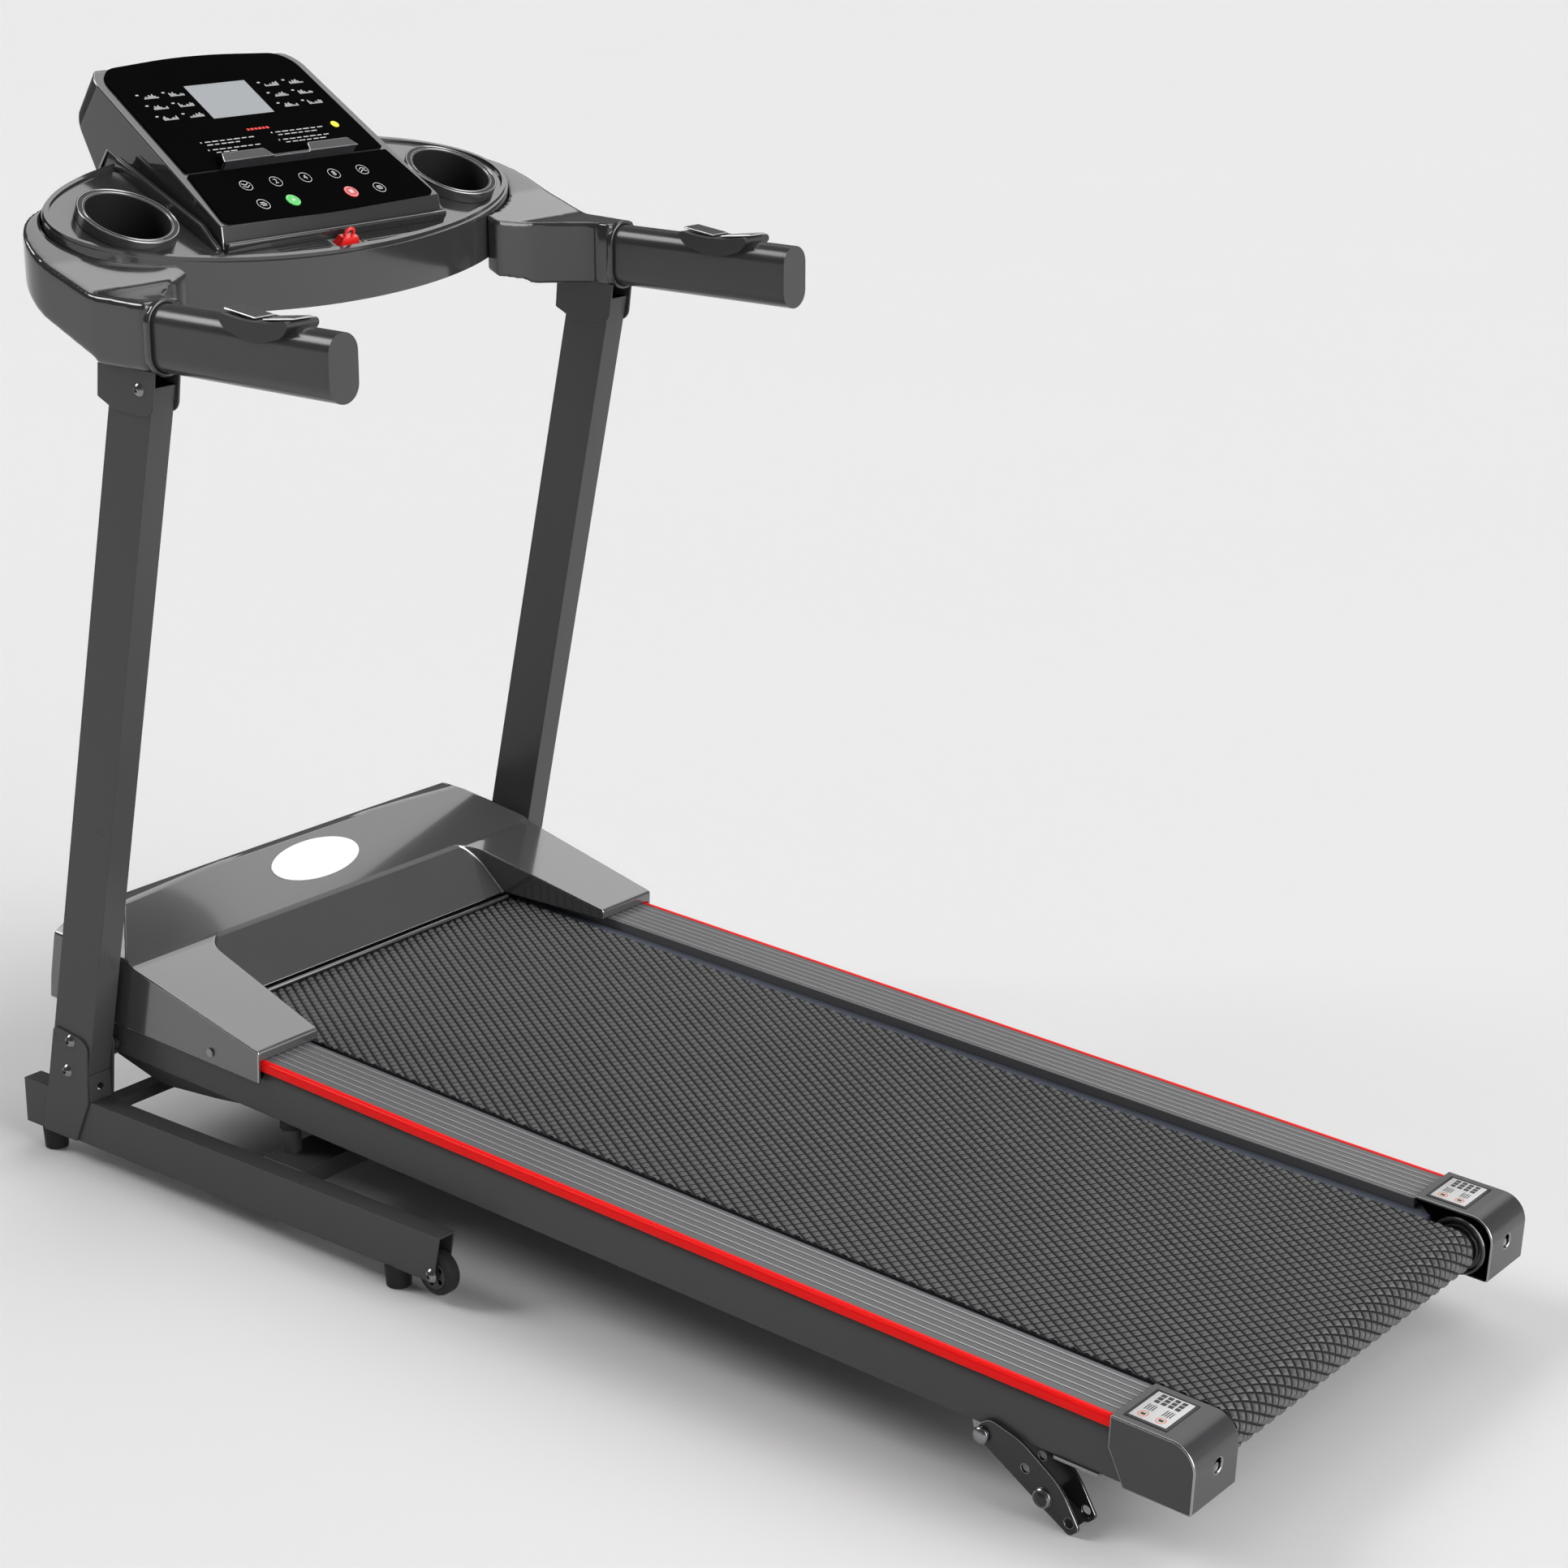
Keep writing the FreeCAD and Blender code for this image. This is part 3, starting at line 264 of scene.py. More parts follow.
looks = {
    "framePaint": {"colour": (0.056, 0.056, 0.057), "rough": 0.32, "grainScale": 700, "grain": 0.05,
                   "drift": 0.08, "specular": 0.28},
    "deckPaint": {"colour": (0.060, 0.060, 0.061), "rough": 0.32, "grainScale": 700, "grain": 0.05,
                  "specular": 0.28},
    "gripPaint": {"colour": (0.044, 0.044, 0.045), "rough": 0.24, "grainScale": 1100, "grain": 0.02,
                  "specular": 0.45, "roughDrift": 0.02},
    "shellGloss": {"colour": (0.028, 0.028, 0.029), "rough": 0.12, "grainScale": 500, "grain": 0.008,
                   "roughDrift": 0.015, "coat": 0.5, "coatRough": 0.05, "specular": 0.6},
    "shellSatin": {"colour": (0.044, 0.044, 0.046), "rough": 0.24, "grainScale": 1400, "grain": 0.04,
                   "roughDrift": 0.03, "specular": 0.45},
    "footPaint": {"colour": (0.026, 0.026, 0.027), "rough": 0.22, "grainScale": 700, "grain": 0.02,
                  "specular": 0.4},
    # painted highlight: a light metallic grey for the bevel faces of the edges that should shine
    "edgeHighlightPaint": {"colour": (0.34, 0.34, 0.35), "rough": 0.20, "metal": 1.0, "grainScale": 700,
                  "grain": 0.01, "roughDrift": 0.02},
    # painted highlight: a light metallic grey for the rings round the cup rims
    "rimHighlightPaint": {"colour": (0.30, 0.30, 0.31), "rough": 0.16, "metal": 1.0, "grainScale": 700,
                 "grain": 0.02, "roughDrift": 0.03},
    "hoodGloss": {"colour": (0.058, 0.058, 0.060), "rough": 0.16, "grainScale": 500, "grain": 0.008,
                  "roughDrift": 0.015, "coat": 1.0, "coatRough": 0.06, "specular": 0.7},
    "blackGloss": {"colour": (0.003, 0.003, 0.003), "rough": 0.14, "grainScale": 300, "grain": 0.01,
                   "roughDrift": 0.02, "specular": 0.0},
    "blackPlastic": {"colour": (0.022, 0.022, 0.024), "rough": 0.45, "grainScale": 1600, "grain": 0.25},
    "rubberBlack": {"colour": (0.014, 0.014, 0.015), "rough": 0.70, "grainScale": 1200, "grain": 0.35,
                    "specular": 0.35},
    # black belt rubber made near black as painted shade in the gaps between the studs; the studs below
    # are the same rubber in a lighter grey, a painted highlight
    "beltRubber": {"colour": (0.006, 0.006, 0.006), "rough": 0.75, "grainScale": 1000, "grain": 0.25,
                   "specular": 0.3},
    "studRubber": {"colour": (0.095, 0.095, 0.096), "rough": 0.46, "grainScale": 1500, "grain": 0.30,
                   "drift": 0.18, "driftScale": 14, "specular": 0.4},
    "railGrey": {"colour": (0.115, 0.114, 0.117), "rough": 0.38, "grainScale": 1200, "grain": 0.10,
                 "stretch": (1, 0.2, 1), "drift": 0.06},
    # painted highlight: the raised rail ribs in a lighter grey than the rail itself
    "ribHighlightGrey": {"colour": (0.42, 0.42, 0.43), "rough": 0.35, "grainScale": 1200, "grain": 0.08},
    "stripeRed": {"colour": (0.95, 0.006, 0.005), "rough": 0.36, "grainScale": 900, "grain": 0.04,
                  "drift": 0.05, "specular": 0.12},
    "boardCoat": {"colour": (0.075, 0.085, 0.110), "rough": 0.35, "grainScale": 400, "grain": 0.08,
                  "stretch": (1, 0.1, 1), "drift": 0.12},
    "turnedSteel": {"colour": (0.45, 0.45, 0.47), "rough": 0.28, "metal": 1.0, "grainScale": 300,
                    "grain": 0.15, "stretch": (6, 1, 1)},
    "darkSteel": {"colour": (0.26, 0.26, 0.27), "rough": 0.24, "metal": 1.0, "grainScale": 800,
                  "grain": 0.08, "drift": 0.2, "driftScale": 60},
    "motorPaint": {"colour": (0.04, 0.042, 0.045), "rough": 0.4, "grainScale": 500, "grain": 0.1},
    "pulseChrome": {"colour": (0.80, 0.80, 0.82), "rough": 0.07, "metal": 1.0, "grainScale": 200,
                    "grain": 0.02, "roughDrift": 0.03, "drift": 0.03},
    "displayGrey": {"colour": (0.32, 0.335, 0.35), "rough": 0.22, "grainScale": 2500, "grain": 0.03,
                    "roughDrift": 0.02, "drift": 0.02, "specular": 0.08},
    "printWhite": {"colour": (0.55, 0.55, 0.56), "rough": 0.45, "grainScale": 2500, "grain": 0.03},
    "printRed": {"colour": (0.75, 0.02, 0.015), "rough": 0.40, "grainScale": 2500, "grain": 0.03},
    "printYellow": {"colour": (0.90, 0.85, 0.01), "rough": 0.40, "grainScale": 2500, "grain": 0.03},
    "printOrange": {"colour": (0.78, 0.22, 0.08), "rough": 0.45, "grainScale": 2500, "grain": 0.03},
    "printDark": {"colour": (0.02, 0.02, 0.022), "rough": 0.40, "grainScale": 2500, "grain": 0.03},
    "labelWhite": {"colour": (0.62, 0.62, 0.62), "rough": 0.40, "grainScale": 1200, "grain": 0.05},
    "badgeWhite": {"colour": (0.93, 0.93, 0.93), "rough": 0.25, "grainScale": 600, "grain": 0.02},
    "keyGreen": {"colour": (0.01, 0.62, 0.04), "rough": 0.22, "grainScale": 900, "grain": 0.03},
    "keyRed": {"colour": (0.70, 0.012, 0.012), "rough": 0.22, "grainScale": 900, "grain": 0.03},
    "safetyRed": {"colour": (0.72, 0.014, 0.014), "rough": 0.25, "grainScale": 900, "grain": 0.05,
                  "coat": 0.3},
    "socketGreen": {"colour": (0.16, 0.22, 0.20), "rough": 0.40, "grainScale": 900, "grain": 0.05},
    # painted shade: near black for the walls and floors inside the cup wells
    "cupWellShadePaint": {"colour": (0.010, 0.010, 0.011), "rough": 0.55, "grainScale": 1200, "grain": 0.2},
}
finishes = {name: surface(name, look) for name, look in looks.items()}

nodeFinish = {
    "framePaint": ["base_rail_left", "base_rail_right", "base_cross_tubes", "upright_left",
                   "upright_right", "upright_brackets", "upper_brackets", "rest_posts"],
    "deckPaint": ["deck_side_left", "deck_side_right", "deck_cross_tubes"],
    "footPaint": ["folding_foot_left", "folding_foot_right"],
    "gripPaint": ["handlebar_left", "handlebar_right"],
    "shellSatin": ["handle_end_caps", "rear_end_caps", "cup_holders"],
    "shellGloss": ["console_tray", "console_arm_left", "console_arm_right", "display_housing"],
    "hoodGloss": ["motor_hood"],
    "blackGloss": ["display_overlay", "key_slower", "key_speed_2", "key_speed_4", "key_speed_8",
                   "key_faster", "key_program", "key_mode"],
    "blackPlastic": ["transport_wheel_left", "transport_wheel_right", "belly_pan",
                     "motor_controller", "pulse_pods", "tablet_ledge"],
    "rubberBlack": ["rubber_feet", "wheel_tyre_left", "wheel_tyre_right", "drive_belt"],
    # the belt near black: painted shade in the gaps between the studs
    "beltRubber": ["running_belt"],
    "railGrey": ["foot_rail_left", "foot_rail_right"],
    "stripeRed": ["edge_stripes"],
    "boardCoat": ["deck_board"],
    "turnedSteel": ["front_roller", "rear_roller", "motor_pulley"],
    "darkSteel": ["frame_bolts", "deck_hardware"],
    "motorPaint": ["motor_body"],
    "pulseChrome": ["pulse_plates"],
    "displayGrey": ["lcd_window"],
    "keyGreen": ["key_start"],
    "keyRed": ["key_stop"],
    "safetyRed": ["safety_key"],
    "socketGreen": ["safety_socket"],
}
finishOf = {}
for finishName, members in nodeFinish.items():
    for member in members:
        finishOf[member] = finishes[finishName]
        nodes[member].data.materials.clear()
        nodes[member].data.materials.append(finishes[finishName])
print("finishes made", len(finishes))


# softened edges: pressed, moulded and cast pieces get their small radii; some get a painted highlight on
# their bevels

softEdges = {    # node: edge radius in metres
    "motor_hood": 0.0015, "rear_end_caps": 0.0015, "console_tray": 0.0016, "display_housing": 0.0014,
    "display_overlay": 0.0005, "handlebar_left": 0.0004, "handlebar_right": 0.0004,
    "upright_left": 0.0020, "upright_right": 0.0020,
    "base_rail_left": 0.0020, "base_rail_right": 0.0020, "base_cross_tubes": 0.0012,
    "upright_brackets": 0.0006, "upper_brackets": 0.0006, "handle_end_caps": 0.0030,
    "folding_foot_left": 0.0005, "folding_foot_right": 0.0005, "tablet_ledge": 0.0008,
    "safety_key": 0.0006, "deck_side_left": 0.0015, "deck_side_right": 0.0015,
    "wheel_tyre_left": 0.0018, "wheel_tyre_right": 0.0018, "pulse_pods": 0.0012,
    "pulse_plates": 0.0005, "cup_holders": 0.0010, "rubber_feet": 0.0008,
    "foot_rail_left": 0.0006, "foot_rail_right": 0.0006, "edge_stripes": 0.0008,
    "transport_wheel_left": 0.0004, "transport_wheel_right": 0.0004, "belly_pan": 0.0008,
}


def spokenName(node):
    words = node.split("_")
    return words[0] + "".join(word.capitalize() for word in words[1:])


merging = {"gap": 0.00002, "flatWithin": 0.5}


def mergedCopy(node, name):
    # a free copy of a node with its loose triangles joined up
    piece = nodes[node].copy()
    piece.data = nodes[node].data.copy()
    piece.parent = None
    for note in list(piece.keys()):
        del piece[note]
    bpy.context.scene.collection.objects.link(piece)
    piece.name = name
    piece.matrix_world = Matrix.Identity(4)
    piece.hide_render = False
    piece.hide_viewport = False
    piece.hide_set(False)
    pickUp(piece)
    bpy.ops.object.mode_set(mode='EDIT')
    bpy.ops.mesh.select_all(action='SELECT')
    bpy.ops.mesh.remove_doubles(threshold=merging["gap"])
    bpy.ops.mesh.dissolve_limited(angle_limit=math.radians(merging["flatWithin"]))
    bpy.ops.object.mode_set(mode='OBJECT')
    return piece


# pieces whose bevels take the light metallic grey: a painted edge highlight
paintedHighlightNodes = ("motor_hood", "rear_end_caps", "display_housing", "folding_foot_left",
               "folding_foot_right", "tablet_ledge")
softening = {"sharpest": 35, "threeStepsOver": 0.0012, "shadeAngle": 32, "flatWeight": 80}
for node, radius in softEdges.items():
    piece = mergedCopy(node, spokenName(node) + "Soft")
    # a second slot for the painted edge highlight
    piece.data.materials.append(finishes["edgeHighlightPaint"])
    bright = node in paintedHighlightNodes
    steps = 3 if radius > softening["threeStepsOver"] else 2
    bevelEdges(piece, radius, steps, softening["sharpest"], 1 if bright else -1, not bright)
    highlightFaces = [face.index for face in piece.data.polygons if face.material_index == 1]
    finish(piece, nodes[node]["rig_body"], finishOf[node], softening["shadeAngle"], (node,))
    if bright:    # the bevel faces take the light metallic grey, a painted edge highlight
        piece.data.materials.append(finishes["edgeHighlightPaint"])
        for index in highlightFaces:
            piece.data.polygons[index].material_index = 1
    flatten = piece.modifiers.new("flatFaces", 'WEIGHTED_NORMAL')
    flatten.keep_sharp = True
    flatten.weight = softening["flatWeight"]
    bpy.ops.object.modifier_apply(modifier=flatten.name)
print("edges softened", len(softEdges))

moulded = {"nodes": ("console_arm_left", "console_arm_right"), "cell": 0.0018, "rounds": 7,
           "outerRounds": 36, "outerFrom": 0.306, "rearOf": 0.500, "relax": 0.5, "shadeAngle": 80}
for node in moulded["nodes"]:    # thick mouldings with large soft corners
    piece = mergedCopy(node, spokenName(node) + "Moulded")
    skin = piece.modifiers.new("skin", 'REMESH')
    skin.mode = 'VOXEL'
    skin.voxel_size = moulded["cell"]
    bpy.ops.object.modifier_apply(modifier=skin.name)
    relax = piece.modifiers.new("relax", 'SMOOTH')
    relax.factor = moulded["relax"]
    relax.iterations = moulded["rounds"]
    bpy.ops.object.modifier_apply(modifier=relax.name)
    outer = piece.vertex_groups.new(name="outerSkin")    # the thin inner notch keeps its shape
    outer.add([vertex.index for vertex in piece.data.vertices
               if abs(vertex.co.x) > moulded["outerFrom"] or vertex.co.y > moulded["rearOf"]],
              1.0, 'REPLACE')
    polish = piece.modifiers.new("polish", 'SMOOTH')
    polish.vertex_group = outer.name
    polish.factor = moulded["relax"]
    polish.iterations = moulded["outerRounds"]
    bpy.ops.object.modifier_apply(modifier=polish.name)
    finish(piece, nodes[node]["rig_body"], finishOf[node], moulded["shadeAngle"], (node,))
print("arms moulded")

collar = {"at": 0.3985, "half": 0.0040, "thick": 0.0042, "edge": 0.0018}
for node, sideName in (("handlebar_left", "Left"), ("handlebar_right", "Right")):
    lip = mergedCopy(node, "collarLip" + sideName)    # a band of the bar, thickened
    for edge in (-1, 1):
        pickUp(lip)
        bpy.ops.object.mode_set(mode='EDIT')
        bpy.ops.mesh.select_all(action='SELECT')
        bpy.ops.mesh.bisect(plane_co=(0, collar["at"] + edge * collar["half"], 0),
                            plane_no=(0, edge, 0), clear_outer=True)
        bpy.ops.object.mode_set(mode='OBJECT')
    middle = sum((vertex.co for vertex in lip.data.vertices), Vector()) / len(lip.data.vertices)
    pickFaces(lip, lambda centre, normal: (centre - middle).dot(normal) < 0)
    bpy.ops.mesh.delete(type='FACE')
    bpy.ops.object.mode_set(mode='OBJECT')
    band = lip.modifiers.new("band", 'SOLIDIFY')
    band.thickness = collar["thick"]
    band.offset = 1
    bpy.ops.object.modifier_apply(modifier=band.name)
    bevelEdges(lip, collar["edge"], 3, 50)
    finish(lip, "stand", finishes["shellGloss"], 40)
print("collar lips done")


# running belt: a skewed grid of small raised studs round the whole loop, lighter than the belt: a painted
# highlight on the studs and painted shade in the gaps between them

belt = {"pitch": 0.0092, "stud": 0.0080, "studTop": 0.0036, "rise": 0.0013, "sink": 0.0004,
        "turn": 30.0, "half": 0.2085, "startAt": -0.090, "rollerAt": -1.262, "rollerUp": 0.017,
        "outer": 0.0213}
topRun = belt["startAt"] - belt["rollerAt"]
wrapRun = math.pi * belt["outer"]
beltRun = 2 * topRun + wrapRun

clearSelection()
bpy.ops.mesh.primitive_cone_add(vertices=4, radius1=belt["stud"] / math.sqrt(2),
                                radius2=belt["studTop"] / math.sqrt(2),
                                depth=belt["rise"] + belt["sink"], rotation=(0, 0, math.radians(45)),
                                location=(0, 0, (belt["rise"] - belt["sink"]) / 2))
studs = bpy.context.object
studs.name = "beltStuds"
settle(studs)
pickFaces(studs, lambda centre, normal: normal.z < -0.9)
bpy.ops.mesh.delete(type='FACE')
bpy.ops.object.mode_set(mode='OBJECT')
skew = math.radians(belt["turn"])
lean, straight = math.sin(skew), math.cos(skew)
alongRows = int((2 * belt["half"] * lean + beltRun * straight) / belt["pitch"]) + 2
acrossRows = int((2 * belt["half"] * straight + beltRun * lean) / belt["pitch"]) + 2
studs.location = (-belt["half"] * straight, -belt["half"] * lean, 0)
settle(studs)
repeat(studs, (0, belt["pitch"], 0), alongRows)
repeat(studs, (belt["pitch"], 0, 0), acrossRows)
studs.rotation_euler = (0, 0, skew)
settle(studs)
for corner, outward in (((-belt["half"], 0, 0), (-1, 0, 0)), ((belt["half"], 0, 0), (1, 0, 0)),
                        ((0, 0, 0), (0, -1, 0)), ((0, beltRun, 0), (0, 1, 0))):    # trims to the belt
    pickUp(studs)
    bpy.ops.object.mode_set(mode='EDIT')
    bpy.ops.mesh.select_all(action='SELECT')
    bpy.ops.mesh.bisect(plane_co=corner, plane_no=outward, clear_outer=True)
    bpy.ops.object.mode_set(mode='OBJECT')
for vertex in studs.data.vertices:    # lays the flat sheet round the rear roller
    along, height = vertex.co.y, vertex.co.z
    reach = belt["outer"] + height
    if along < topRun:
        vertex.co.y = belt["startAt"] - along
        vertex.co.z = belt["rollerUp"] + reach
    elif along < topRun + wrapRun:
        turned = (along - topRun) / belt["outer"]
        vertex.co.y = belt["rollerAt"] - reach * math.sin(turned)
        vertex.co.z = belt["rollerUp"] + reach * math.cos(turned)
    else:
        vertex.co.y = belt["rollerAt"] + along - topRun - wrapRun
        vertex.co.z = belt["rollerUp"] - reach
settle(studs, deckPlace)
pickUp(studs)
bpy.ops.object.mode_set(mode='EDIT')
bpy.ops.mesh.select_all(action='SELECT')
bpy.ops.mesh.flip_normals()
bpy.ops.object.mode_set(mode='OBJECT')
# the studs take the lighter grey, a painted highlight against the darker belt
finish(studs, "deck", finishes["studRubber"], 20)
print("belt studs", len(studs.data.polygons))


# console: raised skirt round the display housing, painted shade in the cup wells, rings with a painted
# highlight on their rims

skirt = {"side": 0.1560, "wide": 0.0075, "from": 0.036, "to": 0.196, "tall": 0.0125, "sunk": 0.0030,
         "slope": 0.32,
         "frontAt": 0.0325, "frontWide": 0.3020, "frontDeep": 0.0060, "frontTall": 0.0110,
         "tailWide": 0.2790, "tailDeep": 0.0360, "tailHigh": 0.0270, "tailAt": 0.2135,
         "sideEdge": 0.0018, "frontEdge": 0.0020, "tailEdge": 0.0030, "overlap": 0.001}
skirtParts = []
for side in (-1, 1):
    skirtParts.append(block("skirtSide", (skirt["wide"], skirt["to"] - skirt["from"],
                                          skirt["tall"] + skirt["sunk"]),
                            (side * skirt["side"], (skirt["from"] + skirt["to"]) / 2,
                             (skirt["tall"] - skirt["sunk"]) / 2)))
for piece in skirtParts:    # the sides run out low at the front
    pickUp(piece)
    bpy.ops.object.mode_set(mode='EDIT')
    bpy.ops.mesh.select_all(action='SELECT')
    bpy.ops.mesh.bisect(plane_co=(0, skirt["from"], skirt["sunk"]), plane_no=(0, -skirt["slope"], 1),
                        clear_outer=True, use_fill=True)
    bpy.ops.object.mode_set(mode='OBJECT')
    bevelEdges(piece, skirt["sideEdge"], 3)
skirtParts.append(block("skirtFront", (skirt["frontWide"], skirt["frontDeep"], skirt["frontTall"]),
                        (0, skirt["frontAt"], skirt["frontTall"] / 2 - skirt["overlap"]),
                        skirt["frontEdge"], 3))
skirtParts.append(block("skirtTail", (skirt["tailWide"], skirt["tailDeep"], skirt["tailHigh"]),
                        (0, skirt["tailAt"], skirt["overlap"] - skirt["tailHigh"] / 2),
                        skirt["tailEdge"], 3))
finish(settle(joined("housingSkirt", skirtParts), trayPlace), "stand",
       finishes["shellGloss"], 30)

cupWell = {"radius": 0.0436, "side": 0.222, "along": 0.099, "top": 0.011, "floorInset": 0.004,
           "wallLean": 0.35, "rims": ((0.0442, 0.0008), (0.0492, 0.0010))}    # rims: radius, wire
cups = bpy.data.objects["cupHoldersSoft"]
# the walls and floors inside the cup wells get the near-black finish: painted shade in the recess
cups.data.materials.append(finishes["cupWellShadePaint"])
toTray = trayPlace.inverted()
for face in cups.data.polygons:
    spot = toTray @ face.center
    reach = math.hypot(abs(spot.x) - cupWell["side"], spot.y - cupWell["along"])
    facesIn = toTray.to_3x3() @ face.normal
    onWall = reach < cupWell["radius"] and abs(facesIn.z) < cupWell["wallLean"]
    onFloor = reach < cupWell["radius"] - cupWell["floorInset"]
    if onWall or onFloor:
        face.material_index = 1
# rings round each cup rim in a light metallic grey: a painted highlight
rims = []
for side in (-1, 1):
    for reach, wire in cupWell["rims"]:
        rims.append(ring("cupRim", reach, wire,
                         (side * cupWell["side"], cupWell["along"], cupWell["top"] - wire * 0.3)))
finish(settle(joined("cupRims", rims), trayPlace), "stand", finishes["rimHighlightPaint"], 60)
print("console trim done")


# foot rails: fine raised ribs along each, lighter grey than the rail: a painted highlight

ribs = {"count": 6, "pitch": 0.0088, "first": 0.2320, "wide": 0.0013, "rise": 0.0008,
        "edge": 0.0003, "railTop": 0.046, "rear": -1.212, "front": -0.140}
for side, sideName in ((-1, "Left"), (1, "Right")):
    length = ribs["front"] - ribs["rear"]
    rib = block("railRibs" + sideName, (ribs["wide"], length, ribs["rise"]),
                (side * ribs["first"], ribs["rear"] + length / 2, ribs["railTop"] + ribs["rise"] * 0.3),
                ribs["edge"])
    repeat(rib, (side * ribs["pitch"], 0, 0), ribs["count"])
    settle(rib, deckPlace)
    # the ribs' lighter grey is a painted highlight
    finish(rib, "deck", finishes["ribHighlightGrey"], 30)
print("rail ribs done")


# rear corners: collar round the roller's end, bright bolts on the folding feet

corners = {"radius": 0.0262, "side": 0.2226, "thick": 0.0030, "edge": 0.0006,
           "hoops": ((0.0262, 0.0021, 0.0022), (0.0202, 0.00147, 0.0020))}    # radius, wire, lift
footBolts = {"turn": 27.8, "flat": 0.45,    # below: radius, distance out, along and up the foot
             "pivot": (0.0078, 0.2975, 0, 0), "knob": (0.0092, 0.2960, -0.072, -0.001)}
for side, sideName in ((-1, "Left"), (1, "Right")):
    plate = disc("rollerPlate", corners["radius"], corners["thick"], (0, 0, 0), 48, corners["edge"])
    hoops = [ring("rollerHoop", radius, wire, (0, 0, -side * lift))
             for radius, wire, lift in corners["hoops"]]
    cup = joined("rollerCollar" + sideName, [plate] + hoops)
    cup.rotation_euler.y = math.radians(90)
    settle(cup)
    settle(cup, deckPlace @ Matrix.Translation((side * corners["side"], belt["rollerAt"],
                                                belt["rollerUp"])))
    finish(cup, "deck", finishes["shellGloss"], 40)
    heads = []
    for radius, out, along, up in (footBolts["pivot"], footBolts["knob"]):
        clearSelection()
        bpy.ops.mesh.primitive_uv_sphere_add(segments=32, ring_count=16, radius=radius,
                                             location=(side * out, along, up))
        head = bpy.context.object
        head.scale.x = footBolts["flat"]
        heads.append(settle(head))
    bolts = joined("footBolts" + sideName, heads)
    foot = "foot_left" if side < 0 else "foot_right"
    pivot = Vector(joints[foot + "_fold"]["pos_m"])
    settle(bolts, tiltedPlace((0, pivot.y, pivot.z), tilts["deck"] + footBolts["turn"]))
    finish(bolts, foot, finishes["darkSteel"], 40)
print("rear corners done")


# motor hood: plain oval badge, lip over the belt

hood = {"badgeLong": 0.0615, "badgeHigh": 0.0255, "badgeAt": 0.0069, "badgeUp": 0.1190,
        "badgeThick": 0.0018, "badgeEdge": 0.0006, "badgeRim": 0.0022, "badgeStep": 0.0008,
        "badgeSunk": 0.0004, "lipAt": -0.0940, "lipUp": 0.0458, "lipRadius": 0.0020,
        "lipLong": 0.395, "lipEdge": 0.0008}
badge = disc("hoodBadge", 1.0, hood["badgeThick"], (0, 0, 0), 64)
badge.scale = (hood["badgeLong"], hood["badgeHigh"], 1)
settle(badge)
bevelEdges(badge, hood["badgeEdge"], 2, 50)
pickFaces(badge, lambda centre, normal: normal.z > 0.99)
bpy.ops.mesh.inset(thickness=hood["badgeRim"], depth=0)
bpy.ops.mesh.inset(thickness=hood["badgeStep"], depth=-hood["badgeSunk"])
bpy.ops.object.mode_set(mode='OBJECT')
settle(badge, deckPlace @ tiltedPlace((0, hood["badgeAt"], hood["badgeUp"]), tilts["hoodSlope"]))
finish(badge, "deck", finishes["badgeWhite"], 25)

clearSelection()
bpy.ops.mesh.primitive_cylinder_add(vertices=16, radius=hood["lipRadius"], depth=hood["lipLong"],
                                    rotation=(0, math.radians(90), 0),
                                    location=(0, hood["lipAt"], hood["lipUp"]))
lip = bpy.context.object
lip.name = "hoodLip"
settle(lip, deckPlace)
bevelEdges(lip, hood["lipEdge"], 2, 50)
finish(lip, "deck", finishes["hoodGloss"])
print("hood trim done")


# console print: rings, marks, small graphs and short lines

panel = {"overlayTop": 0.0020, "keyTop": 0.0025, "print": 0.00025, "keyRows": (0.049, 0.020),
         "keyPitch": 0.040, "ringRadius": 0.0070, "ringWire": 0.00038, "numeral": 0.0095,
         "sunk": 0.00002}


def onPanel(piece):
    return settle(piece, panelPlace)


def printed(name, width, height, across, up, base=panel["overlayTop"], turn=0.0):
    # a thin bar of print, placed across the panel and up its slope
    piece = block(name, (width, height, panel["print"]), (0, 0, 0))
    spot = Matrix.Translation((across, up, base + panel["print"] / 2 - panel["sunk"]))
    piece.matrix_world = spot @ Matrix.Rotation(math.radians(turn), 4, 'Z')
    return settle(piece)


def numeral(text, across, up):
    clearSelection()
    bpy.ops.object.text_add(location=(0, 0, 0))
    letter = bpy.context.object
    letter.data.body = text
    letter.data.size = panel["numeral"]
    letter.data.align_x = 'CENTER'
    letter.data.align_y = 'CENTER'
    letter.data.extrude = panel["print"] / 2
    pickUp(letter)
    bpy.ops.object.convert(target='MESH')
    letter = bpy.context.object
    letter.matrix_world = Matrix.Translation((across, up, panel["keyTop"] + panel["print"] / 2))
    return settle(letter)


keyPrint = {"armLong": 0.0052, "line": 0.0009, "armOut": 0.0021, "armGap": 0.0018, "armTurn": 32,
            "barLong": 0.0080, "barPitch": 0.0022, "wedge": 0.0036, "wedgeLift": 0.0001,
            "square": 0.0052}


def chevrons(across, up, direction):
    arms = []
    for level in (-1, 1):
        for lean in (-1, 1):
            arms.append(printed("chevronArm", keyPrint["armLong"], keyPrint["line"],
                                across + lean * keyPrint["armOut"], up + level * keyPrint["armGap"],
                                panel["keyTop"], -lean * direction * keyPrint["armTurn"]))
    return arms


def shortBars(across, up):
    return [printed("keyBar", keyPrint["barLong"] - keyPrint["barPitch"] * abs(level), keyPrint["line"],
                    across, up + level * keyPrint["barPitch"], panel["keyTop"])
            for level in (-1, 0, 1)]


